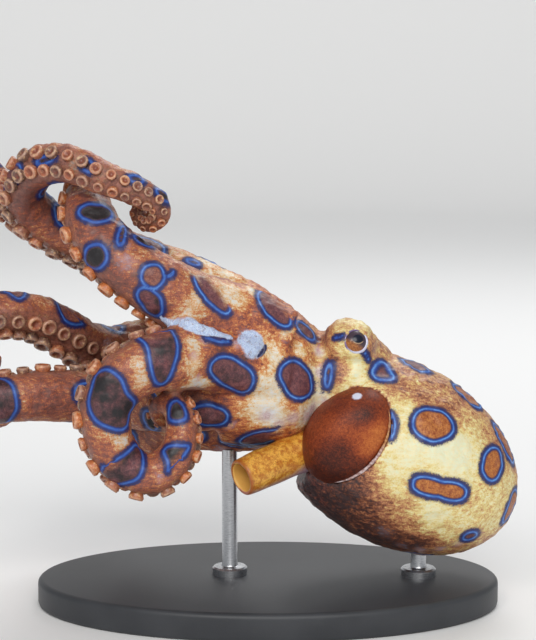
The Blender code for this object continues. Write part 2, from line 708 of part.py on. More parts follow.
def main():
    arms = {name: Arm(**shape) for name, shape in ARMS.items()}
    make_mantle()
    make_collar()
    make_funnel()
    make_head()
    make_eyes()
    make_crown(arms)
    make_mouth()
    for name, arm in arms.items():
        make_arm_lengths(name, arm)
    make_base()
    make_rod("stand_rod_mantle", MANTLE_ROD_AT, PARTS.objects["mantle"])
    make_rod("stand_rod_crown", CROWN_ROD_AT, PARTS.objects["crown"])
    bpy.data.collections.remove(TOOLS)


clear_scene()
PARTS = new_collection("blue_ringed_octopus")
TOOLS = new_collection("tools")
main()
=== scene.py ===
"""The looks of a blue ringed octopus on its display stand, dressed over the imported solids.

Shapes are worked out in millimetres and become metres in mesh_piece(). +X is where the mantle
leads, -X is where the arms trail, -Y is the animal's left side, which the camera sees, and +Z is up.
"""
import math

import bmesh
import bpy
import numpy as np
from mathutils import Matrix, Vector, noise
from mathutils.bvhtree import BVHTree


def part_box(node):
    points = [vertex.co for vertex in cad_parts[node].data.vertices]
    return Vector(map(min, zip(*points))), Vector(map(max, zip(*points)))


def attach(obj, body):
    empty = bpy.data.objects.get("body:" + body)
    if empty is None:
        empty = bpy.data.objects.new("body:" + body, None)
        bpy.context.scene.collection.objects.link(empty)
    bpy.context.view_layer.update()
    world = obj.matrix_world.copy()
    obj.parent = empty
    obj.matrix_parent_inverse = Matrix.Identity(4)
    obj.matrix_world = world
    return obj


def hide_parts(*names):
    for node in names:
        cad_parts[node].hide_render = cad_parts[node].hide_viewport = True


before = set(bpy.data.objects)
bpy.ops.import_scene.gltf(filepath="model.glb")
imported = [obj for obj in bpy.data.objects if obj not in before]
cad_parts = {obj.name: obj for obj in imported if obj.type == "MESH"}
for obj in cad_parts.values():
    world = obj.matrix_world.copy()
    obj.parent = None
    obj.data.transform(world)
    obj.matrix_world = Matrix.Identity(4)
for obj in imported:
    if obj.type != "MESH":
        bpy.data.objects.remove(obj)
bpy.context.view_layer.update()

MM = 0.001

# Camera: the photograph's viewing angle, with the animal's middle plane at VIEW_DISTANCE
PICTURE = (536, 640)
PIXEL = 0.18
VIEW_DISTANCE = 330.0
VIEW_RISE = math.radians(7)
VIEW_TARGET = np.array([0.0, 0.0, 52.0])
# Skin counts as hidden where it faces the camera by less than this share, or lies more than this
# many millimetres behind what the camera sees
GRAZING = 0.12
BEHIND = 1.0

# The animal's driving sizes, the same values that its solids are made from
MANTLE_FRONT = np.array([12.0, 0.0, 34.1])
MANTLE_AXIS = np.array([0.866, 0.0, -0.5])
MANTLE_LONG = 24.1
MANTLE_HIGH = 16.5
MANTLE_DEEP = 15.6
FRONT_TO_MIDDLE = 12.6
COLLAR_MIDDLE = np.array([13.5, 0.0, 32.8])
COLLAR_LEAN = 11.0
COLLAR_NEAR = -5.0
COLLAR_SEMI = (6.2, 8.9, 11.5)
OPENING_NEAR = -6.0
OPENING_SEMI = (7.15, 9.8, 13.8)
# The visible opening lies this far to the right, towards the mantle's tip
OPENING_SHIFT = np.array([0.85, 0.0, 0.0])
# The visible collar swells until it touches the opening's wall, with fuller shoulders than an ellipsoid
COLLAR_SWELL = 1.1
COLLAR_FULLNESS = 2.9
FUNNEL_TIP = np.array([-4.7, -13.5, 25.9])
FUNNEL_AIM = np.array([-0.80, -0.55, -0.24])
FUNNEL_LONG = 20.0
FUNNEL_BASE_RADIUS = 4.3
FUNNEL_TIP_RADIUS = 3.25
FUNNEL_WALL = 0.75
# Its outside widens to the root as this power of the length, with low ripples
FUNNEL_FLARE = 1.4
FUNNEL_RIPPLE = 0.12
FUNNEL_BORE_DEPTH = 13.0
HEAD_MIDDLE = np.array([13.6, 0.0, 41.1])
HEAD_SEMI = (10.0, 9.8, 9.6)
LEFTWARD = np.array([0.15, -0.88, 0.45])
EYE_BUMP = np.array([14.4, -4.6, 47.9])
EYE_BUMP_RADIUS = 4.9
EYE_AIM = np.array([0.22, -0.90, 0.30])
EYE_RADIUS = 2.5
EYE_SET = 3.0
SOCKET_INSET = 0.25
# Round each eye, the lid's fold and the pale rim: degrees from the aim, out from the ball, thickness
LID = (60.0, 0.1, 0.55)
EYE_RIM = (52.5, 0.04, 0.19)
EYE_RIM_SWELL = 0.15
EYE_RIM_SWELL_AT = math.radians(215)
# The pupil's oval in shares of the eye's radius: its middle and half axes, across and up
PUPIL_MIDDLE = (-0.07, 0.12)
PUPIL_SEMI = (0.38, 0.3)
CROWN_BELL = [(8.7, 41.7, 8.6), (5.8, 41.7, 11.4), (3.0, 41.8, 12.6), (-1.0, 42.6, 13.6),
              (-5.0, 43.2, 14.2), (-8.6, 43.8, 14.0)]
MOUTH_MIDDLE_Z = 43.0
MOUTH_FLOOR_X = 0.5
MOUTH_FLOOR_RADIUS = 3.2
MOUTH_OPEN_RADIUS = 9.0
MOUTH_RADIUS = 2.3
# The lips and beak: (out along -X, share of the radius)
LIP_PROFILE = [(0.2, 1.0), (-0.5, 1.02), (-0.95, 0.9), (-1.15, 0.72), (-1.05, 0.55), (-0.7, 0.45),
               (-0.9, 0.36), (-1.35, 0.24), (-1.75, 0.1)]
LIP_FRILLS = 14

ARM_STEP = 0.5
ARM_TIP_RADIUS = 0.45
ORAL_FLATNESS = 0.12
# The skin knows which arm it is on from this length outwards, and this near to the centre line
ARM_MARKS_FROM = 8.0
ARM_MARKS_NEAR = 9.0
# A low keel along each edge of the sucker face: height as a share of the radius, place and width
# in radians
KEEL = (0.05, 1.15, 0.3)
ARMS = {
    "left_arm_1": dict(
        radius=5.6, taper=0.42,
        stem=[(1.5, 0.5, 49.5), (-5, 0.5, 54), (-10, 0.5, 56.5), (-14, 0.5, 58.5), (-21.5, 2.5, 61.5),
              (-31, 4.5, 65), (-39.5, 3, 69), (-43.5, -1, 74), (-41, -6, 79), (-35, -10.5, 80.5),
              (-29, -13, 78.5), (-24, -13, 76.5), (-20, -12, 74.5)],
        oral={4: (-0.3, 0.1, -0.95), 5: (-0.5, 0.1, -0.85), 6: (-0.75, 0, -0.65), 7: (-0.97, -0.2, -0.1),
              8: (-0.65, -0.7, 0.3), 9: (-0.2, -0.97, 0.1), 10: (0, -1, -0.1), 12: (0, -1, -0.1)},
        curl=dict(axis=(0.1, 1, 0.1), long=13, bend=1.3, drift=0.12)),
    "left_arm_2": dict(
        radius=6.9, taper=0.34,
        stem=[(1.5, -6, 48.5), (-5, -8, 52.5), (-10, -9.5, 54.5), (-13.5, -11, 56), (-21, -13, 60.5),
              (-27.5, -12, 65.5), (-31, -9, 70.5), (-32, -5, 73.5)],
        oral={4: (-0.5, 0.2, -0.85), 5: (-0.7, 0.1, -0.7), 6: (-0.9, 0.05, -0.4), 7: (-1, 0.1, -0.1)},
        curl=dict(axis=(-0.5, 0.85, 0.1), long=16, bend=1.3, drift=-0.02)),
    "left_arm_3": dict(
        radius=6.2, taper=0.45,
        stem=[(1.5, -8, 43.5), (-5, -11, 45.5), (-9.5, -13.5, 47), (-13.5, -16.5, 47.5),
              (-18.5, -20, 47.5), (-23, -21.5, 46), (-27, -22, 41.5), (-27.5, -22, 36),
              (-25.5, -21.5, 31), (-20.5, -21, 28), (-16, -20.5, 30.5), (-14.5, -19.5, 35),
              (-15, -18.5, 38)],
        oral={3: (0, 0.98, -0.1), 4: (0, 0.8, 0.6), 5: (-0.5, 0.35, 0.8), 6: (-0.93, 0.2, 0.3),
              7: (-0.95, 0.2, -0.2), 8: (-0.7, 0.2, -0.7), 9: (0, 0.2, -1), 10: (0.8, 0.2, -0.6),
              11: (0.98, 0.2, 0), 12: (0.95, 0.2, 0.3)},
        curl=dict(axis=(-0.15, -1, 0), long=12, bend=1.15, drift=-0.2)),
    "left_arm_4": dict(
        radius=6.1, taper=0.30,
        stem=[(1.5, -5.5, 39), (-5, -6.5, 39), (-10, -7, 39), (-14, -6, 38.5), (-21, -1.5, 37.5),
              (-28.5, 1, 38), (-35.5, -1, 38.5), (-42.5, -4, 39), (-48.5, -6, 38.5)],
        oral={4: (0, 0.5, 0.87), 8: (0, 0.45, 0.9)},
        curl=dict(axis=(0.1, -0.35, -1), long=26, bend=1.55, drift=-0.06)),
    "right_arm_4": dict(
        radius=5.6, taper=0.42,
        stem=[(1.5, 1, 34), (-5, 2, 33), (-10.5, 3.5, 32.5), (-14.5, 5.5, 32), (-20, 8.5, 30),
              (-26, 12, 29.5)],
        oral={4: (0, 0, 1), 5: (0, 0, 1)},
        curl=dict(axis=(0.1, -1, 0.15), long=27, bend=1.6, drift=-0.15)),
    "right_arm_3": dict(
        radius=5.6, taper=0.42,
        stem=[(1.5, 6, 37), (-5, 9.5, 36.5), (-10.5, 13, 35.5), (-15, 16.5, 35), (-21.5, 20.5, 34.5),
              (-27.5, 23.5, 35)],
        oral={4: (0, -0.5, 0.85), 5: (0, -0.4, 0.9)},
        curl=dict(axis=(0.1, -1, 0.1), long=26, bend=1.6, drift=-0.1)),
    "right_arm_2": dict(
        radius=5.8, taper=0.33,
        stem=[(1.5, 8.5, 42), (-5, 12, 43.5), (-10.5, 15.5, 45), (-15, 18, 46), (-22.5, 19, 45),
              (-29, 16, 44), (-33.5, 11.5, 45.5), (-38, 7.5, 49), (-42.5, 4.5, 52), (-47.5, 1.5, 53),
              (-52, 0, 52.5)],
        oral={4: (0, -1, 0), 6: (0.3, -0.85, -0.4), 8: (0.1, -0.8, -0.6), 10: (0, -0.75, -0.65)},
        curl=dict(axis=(0.1, -0.85, -0.55), long=22, bend=1.8, drift=-0.15)),
    "right_arm_1": dict(
        radius=5.6, taper=0.36,
        stem=[(1.5, 6.5, 47), (-5, 9, 51.5), (-10.5, 11, 54), (-14.5, 12.5, 56.5), (-22, 15, 59),
              (-31.5, 16.5, 63), (-40.5, 16, 68), (-47.5, 13, 73), (-52, 10, 77.5)],
        oral={4: (-0.3, -0.4, -0.85), 8: (-0.5, -0.3, -0.8)},
        curl=dict(axis=(0.1, -1, 0.2), long=25, bend=1.6, drift=-0.08)),
}

# Suckers: two rows that alternate and touch, as in life
SUCKER_SHARE = 0.34
SUCKER_MOST = 1.4
SUCKER_LEAST = 0.36
SUCKER_PITCH = 1.12
SUCKER_START = 9.0
# The first ones are this share of full size, and grow to it over this length
SUCKER_FIRST = 0.55
SUCKER_GROWS = 18.0
SUCKER_LEAN = 27.0
SUCKER_SIDES = 12
# A sucker's (radius, height, how far into the cup) for a rim of radius 1
SUCKER_PROFILE = [(0.86, -0.6, 0.95), (0.88, 0.05, 0.95), (1.04, 0.48, 0.95), (0.92, 0.86, 0.9),
                  (0.62, 0.84, 0.5), (0.32, 0.5, 0.1)]
SUCKER_FLOOR = 0.42
# How orange the suckers of an arm are, as painted light on the arms that face it. The others turn orange only
# towards the tip
SUCKER_WARMTH_AND_LIGHT = {"left_arm_2": 1.0, "left_arm_3": 0.5, "right_arm_2": 0.3, "left_arm_4": 0.35}
# Web between neighbouring arms: how far along them it goes, how near they lie, its thickness
WEB_REACH = 30.0
WEB_NEARNESS = 0.95
WEB_THICKNESS = 0.72
# How much of that it loses where they part, and its lift to their outer side, as a share of radius
WEB_THINNING = 0.6
WEB_LIFT = 0.12

# Stand
BASE_LONG = 84.0
BASE_WIDE = 52.0
BASE_THICK = 5.0
BASE_EDGE = 1.0
ROD_RADIUS = 1.4
ROD_FLANGE_RADIUS = 3.2
ROD_FLANGE_THICK = 1.2
ROD_FLANGE_CHAMFER = 0.3
ROD_SINK = 0.9
MANTLE_ROD_AT = (27.5, 0.0)
CROWN_ROD_AT = (-7.0, 1.0)

# Backdrop: a pale floor that sweeps up into a wall
SWEEP_FLAT = 1100.0
SWEEP_RADIUS = 500.0
SWEEP_HIGH = 2200.0

# Studio light: a broad sun as the key, area lamps (name, place in metres, watts, size, colour) and
# an even pale surround
WARM_WHITE = (1.0, 0.98, 0.95)
KEY_STRENGTH = 1.3
KEY_SOFTNESS = math.radians(35)
KEY_DIRECTION = (-0.10, 0.82, -0.56)
AREA_LIGHTS = [("window", (-0.18, -0.45, 0.36), 0.8, 0.18, WARM_WHITE),
               ("back", (0.15, 0.40, 0.55), 1.6, 0.30, (1, 1, 1))]
SURROUND = (0.94, 0.97, 1.0, 1)
SURROUND_STRENGTH = 0.37

# Skin: how fine it is, and how much the remeshed flesh is smoothed
SKIN_VOXEL = 0.545
SKIN_SMOOTHING = 8
# Each smoothing step pulls in by the first weight, then out by the second, which keeps the volume
SMOOTHING_WEIGHTS = (0.55, -0.57)
# Its warts: (size, height) in millimetres
WARTS = [(2.2, 0.28), (1.1, 0.22)]

# The white fold of web between the second and third left arms, and the pale knob at its end:
# pixels of the photograph that it passes, and its radius there
FOLD_SEEN = [((162, 317.5), 0.25), ((165.5, 320), 1.0), ((171, 323), 1.7), ((180, 325.5), 1.6),
             ((191, 328.5), 1.2), ((204, 331.5), 0.85), ((218, 335), 0.6), ((231, 338), 0.3)]
FOLD_LIFT = 0.15
KNOB_SEEN = (250.5, 345)
KNOB_SEMI = (0.9, 2.9, 2.4)
# How their white fades outwards, in radii: its value at the middle, its fall over a radius, its most
FOLD_WHITE = (2.2, 1.7, 1.0)
KNOB_WHITE = (3.2, 3.0, 0.85)
# The mantle's rolled edge shows below this height, and turns pale below this row of pixels
RIM_TOP = 38.5
RIM_PALE_BELOW = 444
RIM_LINE_RADIUS = 0.27
# Its radius at the ends and how much unevenness it has, as shares
RIM_LINE_PINCH = 0.3
RIM_LINE_UNEVEN = 0.12

# Rings that the photograph shows: centre in its pixels, semi-axes in millimetres, turn in degrees
# anticlockwise, shade from 0, orange brown, to 1, near black. A lobe (order, amount, towards) bends
# the outline, square is its superellipse power, gap (towards, half width) leaves the line open, and
# an inner share below 1 widens the line inwards.
RINGS_SEEN = [
    dict(at=(432.8, 425), semi=(3.6, 2.75), turn=-16, shade=0.1),
    dict(at=(439.8, 489), semi=(4.15, 1.6), turn=-12, shade=0.1, lobes=[(2, 0.14, -12)], square=2.6),
    dict(at=(492.8, 464), semi=(2.95, 1.7), turn=84, shade=0.12, lobes=[(1, 0.04, 200)]),
    dict(path=[(391.5, 413), (394.2, 419), (395, 426), (394, 433), (391.5, 438.5)], open=True, shade=0.3),
    dict(path=[(372, 373), (375.5, 365), (381, 361.5), (386, 364), (391.5, 372), (394, 378.5), (387, 380.5),
               (377, 379)], shade=0.5, inner=0.5),
    dict(at=(470, 536), semi=(1.3, 0.6), turn=20, shade=0.6),
    dict(at=(328, 376), semi=(2.0, 0.55), turn=83, shade=0.7, lobes=[(1, 0.1, 20)], inner=0.6),
    dict(at=(305.8, 330.8), semi=(2.2, 0.8), turn=-46, shade=0.7),
    dict(at=(232.5, 374.2), semi=(3.9, 2.35), turn=-31, shade=0.72, square=2.5),
    dict(at=(296.2, 379.7), semi=(3.4, 2.4), turn=-62, shade=0.4, square=2.3),
    dict(at=(211, 415.6), semi=(3.2, 1.75), turn=-8, shade=0.7, lobes=[(1, -0.08, 0)]),
    dict(at=(266, 436.7), semi=(4.2, 1.0), turn=12, shade=0.5, lobes=[(1, 0.12, 192)], gap=(2, 26)),
    dict(at=(274.5, 308.5), semi=(3.9, 1.6), turn=-48, shade=0.6, gap=(42, 72)),
    dict(at=(212, 292.5), semi=(4.5, 1.5), turn=-51, shade=0.4, gap=(49, 86)),
    dict(at=(152.8, 276.2), semi=(1.95, 2.05), turn=0, shade=0.3),
    dict(path=[(164, 277), (168, 276.5), (172, 275), (173.5, 271.5)], open=True, shade=0.6),
    dict(at=(150.5, 301.5), semi=(2.75, 1.65), turn=-52, shade=0.75, lobes=[(3, 0.06, 150)]),
    dict(at=(95.5, 213), semi=(2.9, 1.55), turn=-6, shade=1.1),
    dict(at=(95.5, 257), semi=(1.9, 2.1), turn=0, shade=1.1, lobes=[(1, 0.06, 60)]),
    dict(path=[(133, 334), (146, 345), (150, 362), (153, 376), (157, 383.5), (163, 384), (169, 378),
               (174, 366), (177.5, 352), (176.5, 340), (172, 331)], open=True, shade=0.78),
    dict(path=[(107, 369.5), (97, 374), (92, 386), (88.5, 402), (92, 415), (99, 423), (110, 428), (120, 430),
               (127, 426), (129.5, 414), (134.5, 402.5), (127, 393), (120, 378)], shade=0.88),
    dict(path=[(103, 467), (101, 472), (105, 479), (114, 484), (127, 483), (138, 478), (143, 467), (142, 453),
               (136, 445), (131, 449), (124, 455), (116, 460)], open=True, shade=0.8),
    dict(path=[(175, 400.5), (170, 405), (168.5, 413), (170, 420), (178, 421.5), (185, 419), (186, 412),
               (181, 403)], shade=1.35),
    dict(path=[(168, 472), (168, 463), (163.5, 451), (170, 446), (181, 445.5), (189, 447), (184, 456)],
         open=True, shade=1.2),
    dict(at=(0, 402), semi=(2.9, 4.1), turn=0, shade=0.8),
    dict(path=[(3, 291), (9, 293), (15, 297), (20, 298.5), (25, 295), (26, 286)], open=True, shade=0.5),
    dict(path=[(53, 293), (57, 303), (61, 313), (66, 321), (74, 324.5), (83, 324)], open=True, shade=0.5),
    dict(at=(3, 156), semi=(2.2, 1.4), turn=0, shade=0.6),
    dict(at=(7, 174), semi=(2.6, 1.9), turn=30, shade=0.6, gap=(120, 70)),
    dict(at=(88, 166), semi=(1.2, 0.9), turn=-40, shade=0.9),
    dict(at=(136, 179), semi=(1.3, 0.6), turn=-15, shade=0.9),
    dict(at=(163, 195), semi=(1.5, 0.6), turn=-45, shade=0.9),
    dict(at=(45, 160), semi=(1.6, 0.6), turn=20, shade=0.8),
    dict(at=(121.5, 236), semi=(1.7, 0.6), turn=78, shade=0.9),
    dict(at=(143, 241), semi=(1.8, 0.5), turn=-30, shade=0.9),
    dict(at=(193, 262), semi=(1.2, 0.4), turn=-20, shade=0.9),
    dict(at=(200, 436), semi=(0.8, 0.7), turn=0, shade=0.8),
    dict(path=[(206, 338), (213, 340.5), (221, 342), (229, 341.5)], open=True, shade=0.8),
    dict(path=[(335, 337.8), (339, 337), (342, 336.3)], open=True, shade=1.0),
    dict(path=[(363.5, 351), (366.5, 355), (368.5, 359.5)], open=True, shade=0.5),
    # Its near black inside is painted shadow in the hollow of the coil
    dict(at=(150, 421), semi=(0.9, 1.9), turn=28, shade=1.3),
]
# Rings that it shows edge on, whose long axis runs along the outline, and how far each lies round
# the outline towards the camera
EDGE_NEARER = 3.4
RINGS_AT_EDGE = [
    dict(at=(471, 389), semi=(3.2, 2.5), turn=-42, shade=0.2),
    dict(at=(511, 437), semi=(4.0, 2.5), turn=-62, shade=0.2),
    dict(at=(512, 507), semi=(3.2, 2.2), turn=58, shade=0.2),
    dict(at=(416, 365), semi=(2.8, 2.4), turn=-25, shade=0.4),
]
# Rings on the mantle where the photograph doesn't look: (share along, degrees round from the left
# side over the back), semi-axes, turn
RINGS_ROUND_MANTLE = [
    (0.95, -28, 2.8, 2.0, 20),
    (0.22, 92, 3.4, 2.6, 80), (0.70, 108, 3.6, 3.0, 0), (0.40, 140, 3.9, 3.1, 30), (0.90, 120, 2.8, 2.2, 60),
    (0.16, 158, 2.6, 2.1, 0), (0.66, 168, 4.4, 2.9, 15), (0.34, 205, 3.8, 2.8, 40), (0.90, 190, 2.9, 2.3, 0),
    (0.66, 222, 4.0, 2.7, 20), (0.14, 228, 2.2, 1.8, 10), (0.40, 258, 2.8, 1.7, 0), (0.72, 282, 2.6, 1.6, 30),
]
# The same on the crown, with a place along X in millimetres first
RINGS_ROUND_CROWN = [
    (2, 118, 3.2, 2.4, 20), (0, 165, 3.8, 2.8, 70), (1, 205, 3.4, 2.6, 10), (0, 248, 3.0, 2.4, 40),
    (-6, 140, 3.2, 2.4, 60), (-6, 185, 3.4, 2.6, 20), (-7, 226, 3.2, 2.2, 80), (-6, 285, 2.8, 2.0, 10),
]
MANTLE_RING_SHADE = 0.2
CROWN_RING_SHADE = 0.4
ARM_RING_SHADE = 0.55
# Along each arm: where its rings begin and how far before the tip they end, then for a ring on the
# back and one on the flank the radians round from the back and the size as a share of the radius,
# their length to width, and the step to the next one, again as a share of the radius
ARM_RINGS_FROM = 17.0
ARM_RINGS_END = 7.0
ARM_RING_SIDES = ((0.62, 0.52), (-1.35, 0.36))
ARM_RING_LONGER = 1.25
ARM_RING_STEP = 0.95
# Least room between two rings, and the greatest distance from a line that the skin keeps
RING_ROOM = 1.3
RING_DISTANCE_KEPT = 4

# Patches of each tint that the photograph shows: the pixel across and down, radius in millimetres,
# strength
PATCHES_SEEN = {
    "cream": [(372, 455, 2.6, 0.8), (398, 452, 3.4, 1.0), (425, 456, 3.2, 1.0), (452, 455, 3.8, 1.0),
              (470, 445, 3.2, 0.9), (431, 516, 2.8, 0.8), (446, 450, 2.0, 1.2), (419, 459, 2.0, 1.0),
              (433, 515, 1.4, 1.0), (390, 481, 2.2, 0.7), (378, 395, 2.4, 0.6), (405, 410, 2.4, 0.5),
              (462, 470, 2.8, 0.6), (350, 363, 1.9, 0.9), (354, 373, 1.9, 0.9), (345, 380, 2.0, 0.7),
              (341, 353, 1.3, 0.8), (262, 408, 2.8, 1.0), (277, 398, 2.4, 0.9), (272, 419, 2.2, 1.0),
              (268, 378, 2.0, 0.8), (273, 358, 1.7, 0.7), (310, 412, 2.6, 0.9), (320, 352, 1.7, 0.8),
              (316, 372, 1.8, 0.6), (318, 396, 1.7, 0.7), (194, 348, 1.6, 0.9), (193, 366, 1.7, 0.9),
              (197, 384, 1.7, 0.9), (226, 292, 2.0, 0.8), (244, 302, 1.6, 0.6), (200, 281, 1.5, 0.6),
              (193, 308, 1.7, 0.9), (200, 296, 1.3, 0.5), (234, 306, 1.3, 0.5), (206, 262, 1.2, 0.7),
              (224, 273, 1.2, 0.7), (254, 291, 1.2, 0.7), (287, 330, 1.3, 0.6), (299, 350, 1.2, 0.5),
              # The cream at (137, 362) to (142, 383) is partly a painted highlight along the coil
              (268, 338, 0.9, 0.4), (137, 362, 1.0, 1.0), (139, 373, 1.2, 1.1), (142, 383, 1.0, 0.9),
              (118, 443, 1.0, 1.0), (124, 438, 0.7, 0.8)],
    "rust": [(408, 384, 2.6, 0.6), (438, 396, 4.0, 0.9), (457, 408, 3.4, 0.8), (424, 468, 2.4, 0.5),
             (367, 474, 3.0, 1.0), (383, 505, 3.8, 0.4), (402, 520, 3.6, 0.7), (500, 428, 3.2, 0.7),
             (410, 383, 3.0, 0.7), (451, 389, 3.6, 0.8), (480, 440, 2.4, 0.5), (333, 350, 1.5, 0.8),
             (325, 342, 1.4, 0.8), (373, 350, 1.3, 0.7), (322, 345, 1.3, 0.8), (316, 361, 1.2, 0.6),
             (350, 324, 1.7, 1.0), (175, 300, 1.9, 1.0), (181, 287, 1.8, 0.9), (204, 318, 1.7, 1.0),
             (223, 325, 2.2, 1.0), (240, 326, 2.0, 0.8), (246, 318, 2.2, 0.7), (272, 328, 1.8, 0.6),
             (288, 346, 1.8, 0.6), (256, 322, 1.8, 0.6), (243, 362, 1.6, 0.9), (258, 366, 1.8, 0.9),
             (236, 352, 1.4, 0.8), (183, 352, 1.6, 1.0), (181, 374, 1.5, 0.9), (205, 372, 1.3, 0.9),
             (214, 393, 1.8, 1.0), (231, 398, 1.7, 1.0), (245, 400, 1.3, 0.7), (203, 396, 1.6, 0.9),
             (290, 404, 1.8, 0.7), (258, 430, 1.6, 0.6), (236, 418, 1.6, 0.6), (219, 440, 1.7, 0.7),
             (206, 352, 1.4, 0.7), (124, 356, 1.7, 1.0), (131, 372, 1.6, 1.0), (143, 394, 1.1, 1.0),
             (183, 430, 2.0, 1.1), (170, 432, 1.4, 0.9), (152, 461, 1.8, 0.7), (92, 440, 1.8, 1.0),
             (107, 448, 1.8, 1.0), (148, 470, 1.4, 0.8), (110, 232, 2.0, 0.9), (105, 285, 2.4, 0.9),
             (134, 262, 1.5, 0.7), (120, 300, 2.2, 0.9), (38, 302, 2.8, 1.0), (28, 400, 2.2, 0.9),
             (16, 312, 2.0, 0.7), (150, 205, 2.6, 0.8), (160, 218, 2.2, 0.9)],
    "amber": [(499, 506, 3.8, 1.0), (480, 518, 3.6, 0.9), (455, 524, 3.2, 0.8), (473, 474, 3.0, 0.8),
              (398, 420, 2.8, 0.7), (470, 426, 3.2, 0.6), (380, 440, 2.4, 0.7), (405, 470, 3.4, 0.7),
              (410, 500, 3.0, 0.5), (506, 485, 2.6, 0.7), (349, 324, 2.4, 1.6), (360, 322, 1.6, 0.9),
              (366, 372, 2.2, 0.6), (338, 346, 1.5, 0.7), (188, 300, 2.0, 0.9), (197, 316, 1.7, 0.8),
              (216, 286, 2.2, 0.8), (236, 296, 2.0, 0.7), (250, 395, 2.2, 0.8), (240, 408, 1.8, 0.7),
              (170, 255, 2.2, 0.9), (185, 263, 2.0, 0.8), (203, 272, 2.0, 0.9), (270, 368, 2.0, 0.5),
              (297, 412, 2.0, 0.6), (240, 282, 1.6, 0.8), (262, 305, 1.6, 0.5), (276, 342, 1.8, 0.6),
              (262, 331, 1.5, 0.5), (106, 437, 1.4, 1.0), (132, 258, 1.2, 0.6), (130, 316, 2.0, 0.9),
              (88, 242, 1.2, 0.4), (39, 298, 1.4, 0.9), (26, 396, 1.1, 0.7), (74, 163, 1.3, 0.8)],
    # Under the mantle this dark is partly its darker underside and partly painted shadow; on the first left
    # arm and on the far arm at the left it is painted shadow
    "dusk_and_shade": [(314, 500, 6.0, 1.0), (338, 513, 6.5, 1.0), (361, 534, 5.0, 0.9), (349, 492, 3.7, 0.9),
             (321, 486, 4.5, 1.0), (400, 545, 4.0, 0.6), (110, 284, 2.6, 1.2), (102, 234, 1.8, 0.7),
             (25, 198, 3.6, 1.3), (60, 215, 2.4, 0.5)],
    # The first nine, along the mantle's outline, are partly a painted sheen; the rest is the skin's own lilac
    "lilac": [(402, 546, 1.8, 0.6), (420, 550, 1.8, 0.7), (440, 549, 1.8, 0.7), (459, 543, 1.8, 0.7),
              (479, 534, 1.4, 0.5), (384, 532, 2.4, 0.5), (457, 380, 2.6, 0.6), (488, 411, 2.6, 0.6),
              (519, 466, 2.2, 0.6), (375, 352, 1.8, 0.5), (318, 352, 1.5, 1.0), (321, 372, 1.5, 1.0),
              (312, 408, 1.5, 1.0), (266, 416, 1.8, 0.9), (292, 418, 1.8, 0.9), (308, 415, 2.0, 0.9),
              (280, 424, 1.8, 0.8), (240, 446, 2.0, 0.9), (262, 449, 1.8, 0.9), (222, 449, 1.8, 0.8),
              (284, 443, 1.6, 0.8), (198, 378, 1.2, 0.7), (194, 356, 1.2, 0.7), (205, 340, 1.5, 0.7),
              (228, 424, 1.8, 0.8), (326, 402, 1.6, 0.8), (284, 336, 1.6, 0.5), (236, 344, 1.2, 0.8),
              (246, 334, 1.3, 0.6), (318, 385, 1.4, 0.6), (108, 344, 1.5, 0.7), (160, 478, 1.4, 0.6),
              (125, 262, 2.2, 0.6), (128, 246, 1.6, 0.5)],
    # Brown by the eye and on the crown is the skin's own; on the arms at the far left and on the arm behind
    # the coil it is painted shadow
    "brown": [(338, 362, 1.2, 4.0), (339.5, 372, 1.5, 5.0), (327, 331, 1.6, 0.9), (344, 350, 0.8, 0.5),
              (222, 345, 1.5, 0.7), (196, 400, 1.4, 0.6), (254, 306, 1.7, 0.5), (230, 312, 1.2, 0.5),
              (153, 402, 1.4, 0.9), (97, 356, 2.0, 0.7), (60, 398, 3.2, 0.7), (83, 398, 1.6, 0.6),
              (84, 236, 2.0, 0.8), (112, 250, 1.4, 0.6), (74, 214, 1.8, 0.7), (40, 190, 3.2, 0.8),
              (20, 215, 3.2, 0.8), (60, 170, 2.4, 0.6), (70, 330, 2.6, 0.6)],
    "ink": [(333, 338, 0.5, 1.1), (336.5, 337.5, 0.6, 1.2), (340, 336.5, 0.6, 1.2), (343, 336, 0.5, 1.1),
            (364.5, 352, 0.45, 1.0), (367, 355.5, 0.6, 1.2), (368.3, 359, 0.45, 1.0),
            (265.5, 346, 0.4, 1.2), (265, 348.5, 0.5, 1.2), (263.5, 351, 0.6, 1.2),
            (261.5, 353.5, 0.6, 1.2), (259, 355.5, 0.5, 1.2)],
}
# How dark each ground tint is, from 0, creamy white, to 1, near black, and the ground without any
TINT_LEVELS = {"cream": 0.02, "amber": 0.26, "rust": 0.62, "brown": 0.8, "dusk_and_shade": 1.0}
GROUND_LEVEL = 0.56
GROUND_HOLD = 0.16
COLLAR_LEVEL = 0.76
# How strongly painted shade darkens the walls of the mantle's opening
OPENING_SHADE_HOLD = 8
OVERLAYS = ("lilac", "white", "ink")
# A patch on the side that the photograph doesn't show is this much weaker
FAR_SIDE = 0.85
# Patches on the collar
COLLAR_PATCHES_SEEN = {
    # The white fleck is a painted highlight
    "white": [(357, 396, 0.95, 1.3)],
    # Dark blotches, and painted shade on the collar's lower left where it sits deep in the opening
    "dusk_and_shade": [(364, 417, 1.6, 1.0), (341, 453, 1.5, 1.0), (335, 470, 3.5, 0.9)],
    "brown": [(350, 405, 2.6, 0.6)],
    "rust": [(365, 440, 2.6, 0.9), (335, 430, 2.4, 0.5)],
    "amber": [(374, 432, 1.8, 0.6), (370, 445, 1.5, 0.5)],
}


def unit(v):
    """The vector at length 1."""
    v = np.asarray(v, float)
    return v / np.linalg.norm(v)


def hoop(middle, across, rise, sides):
    """Points round an ellipse, from its middle and its two half axes."""
    middle, across, rise = (np.asarray(v, float) for v in (middle, across, rise))
    return [middle + across * math.cos(u) + rise * math.sin(u)
            for u in np.linspace(0, 2 * math.pi, sides, endpoint=False)]


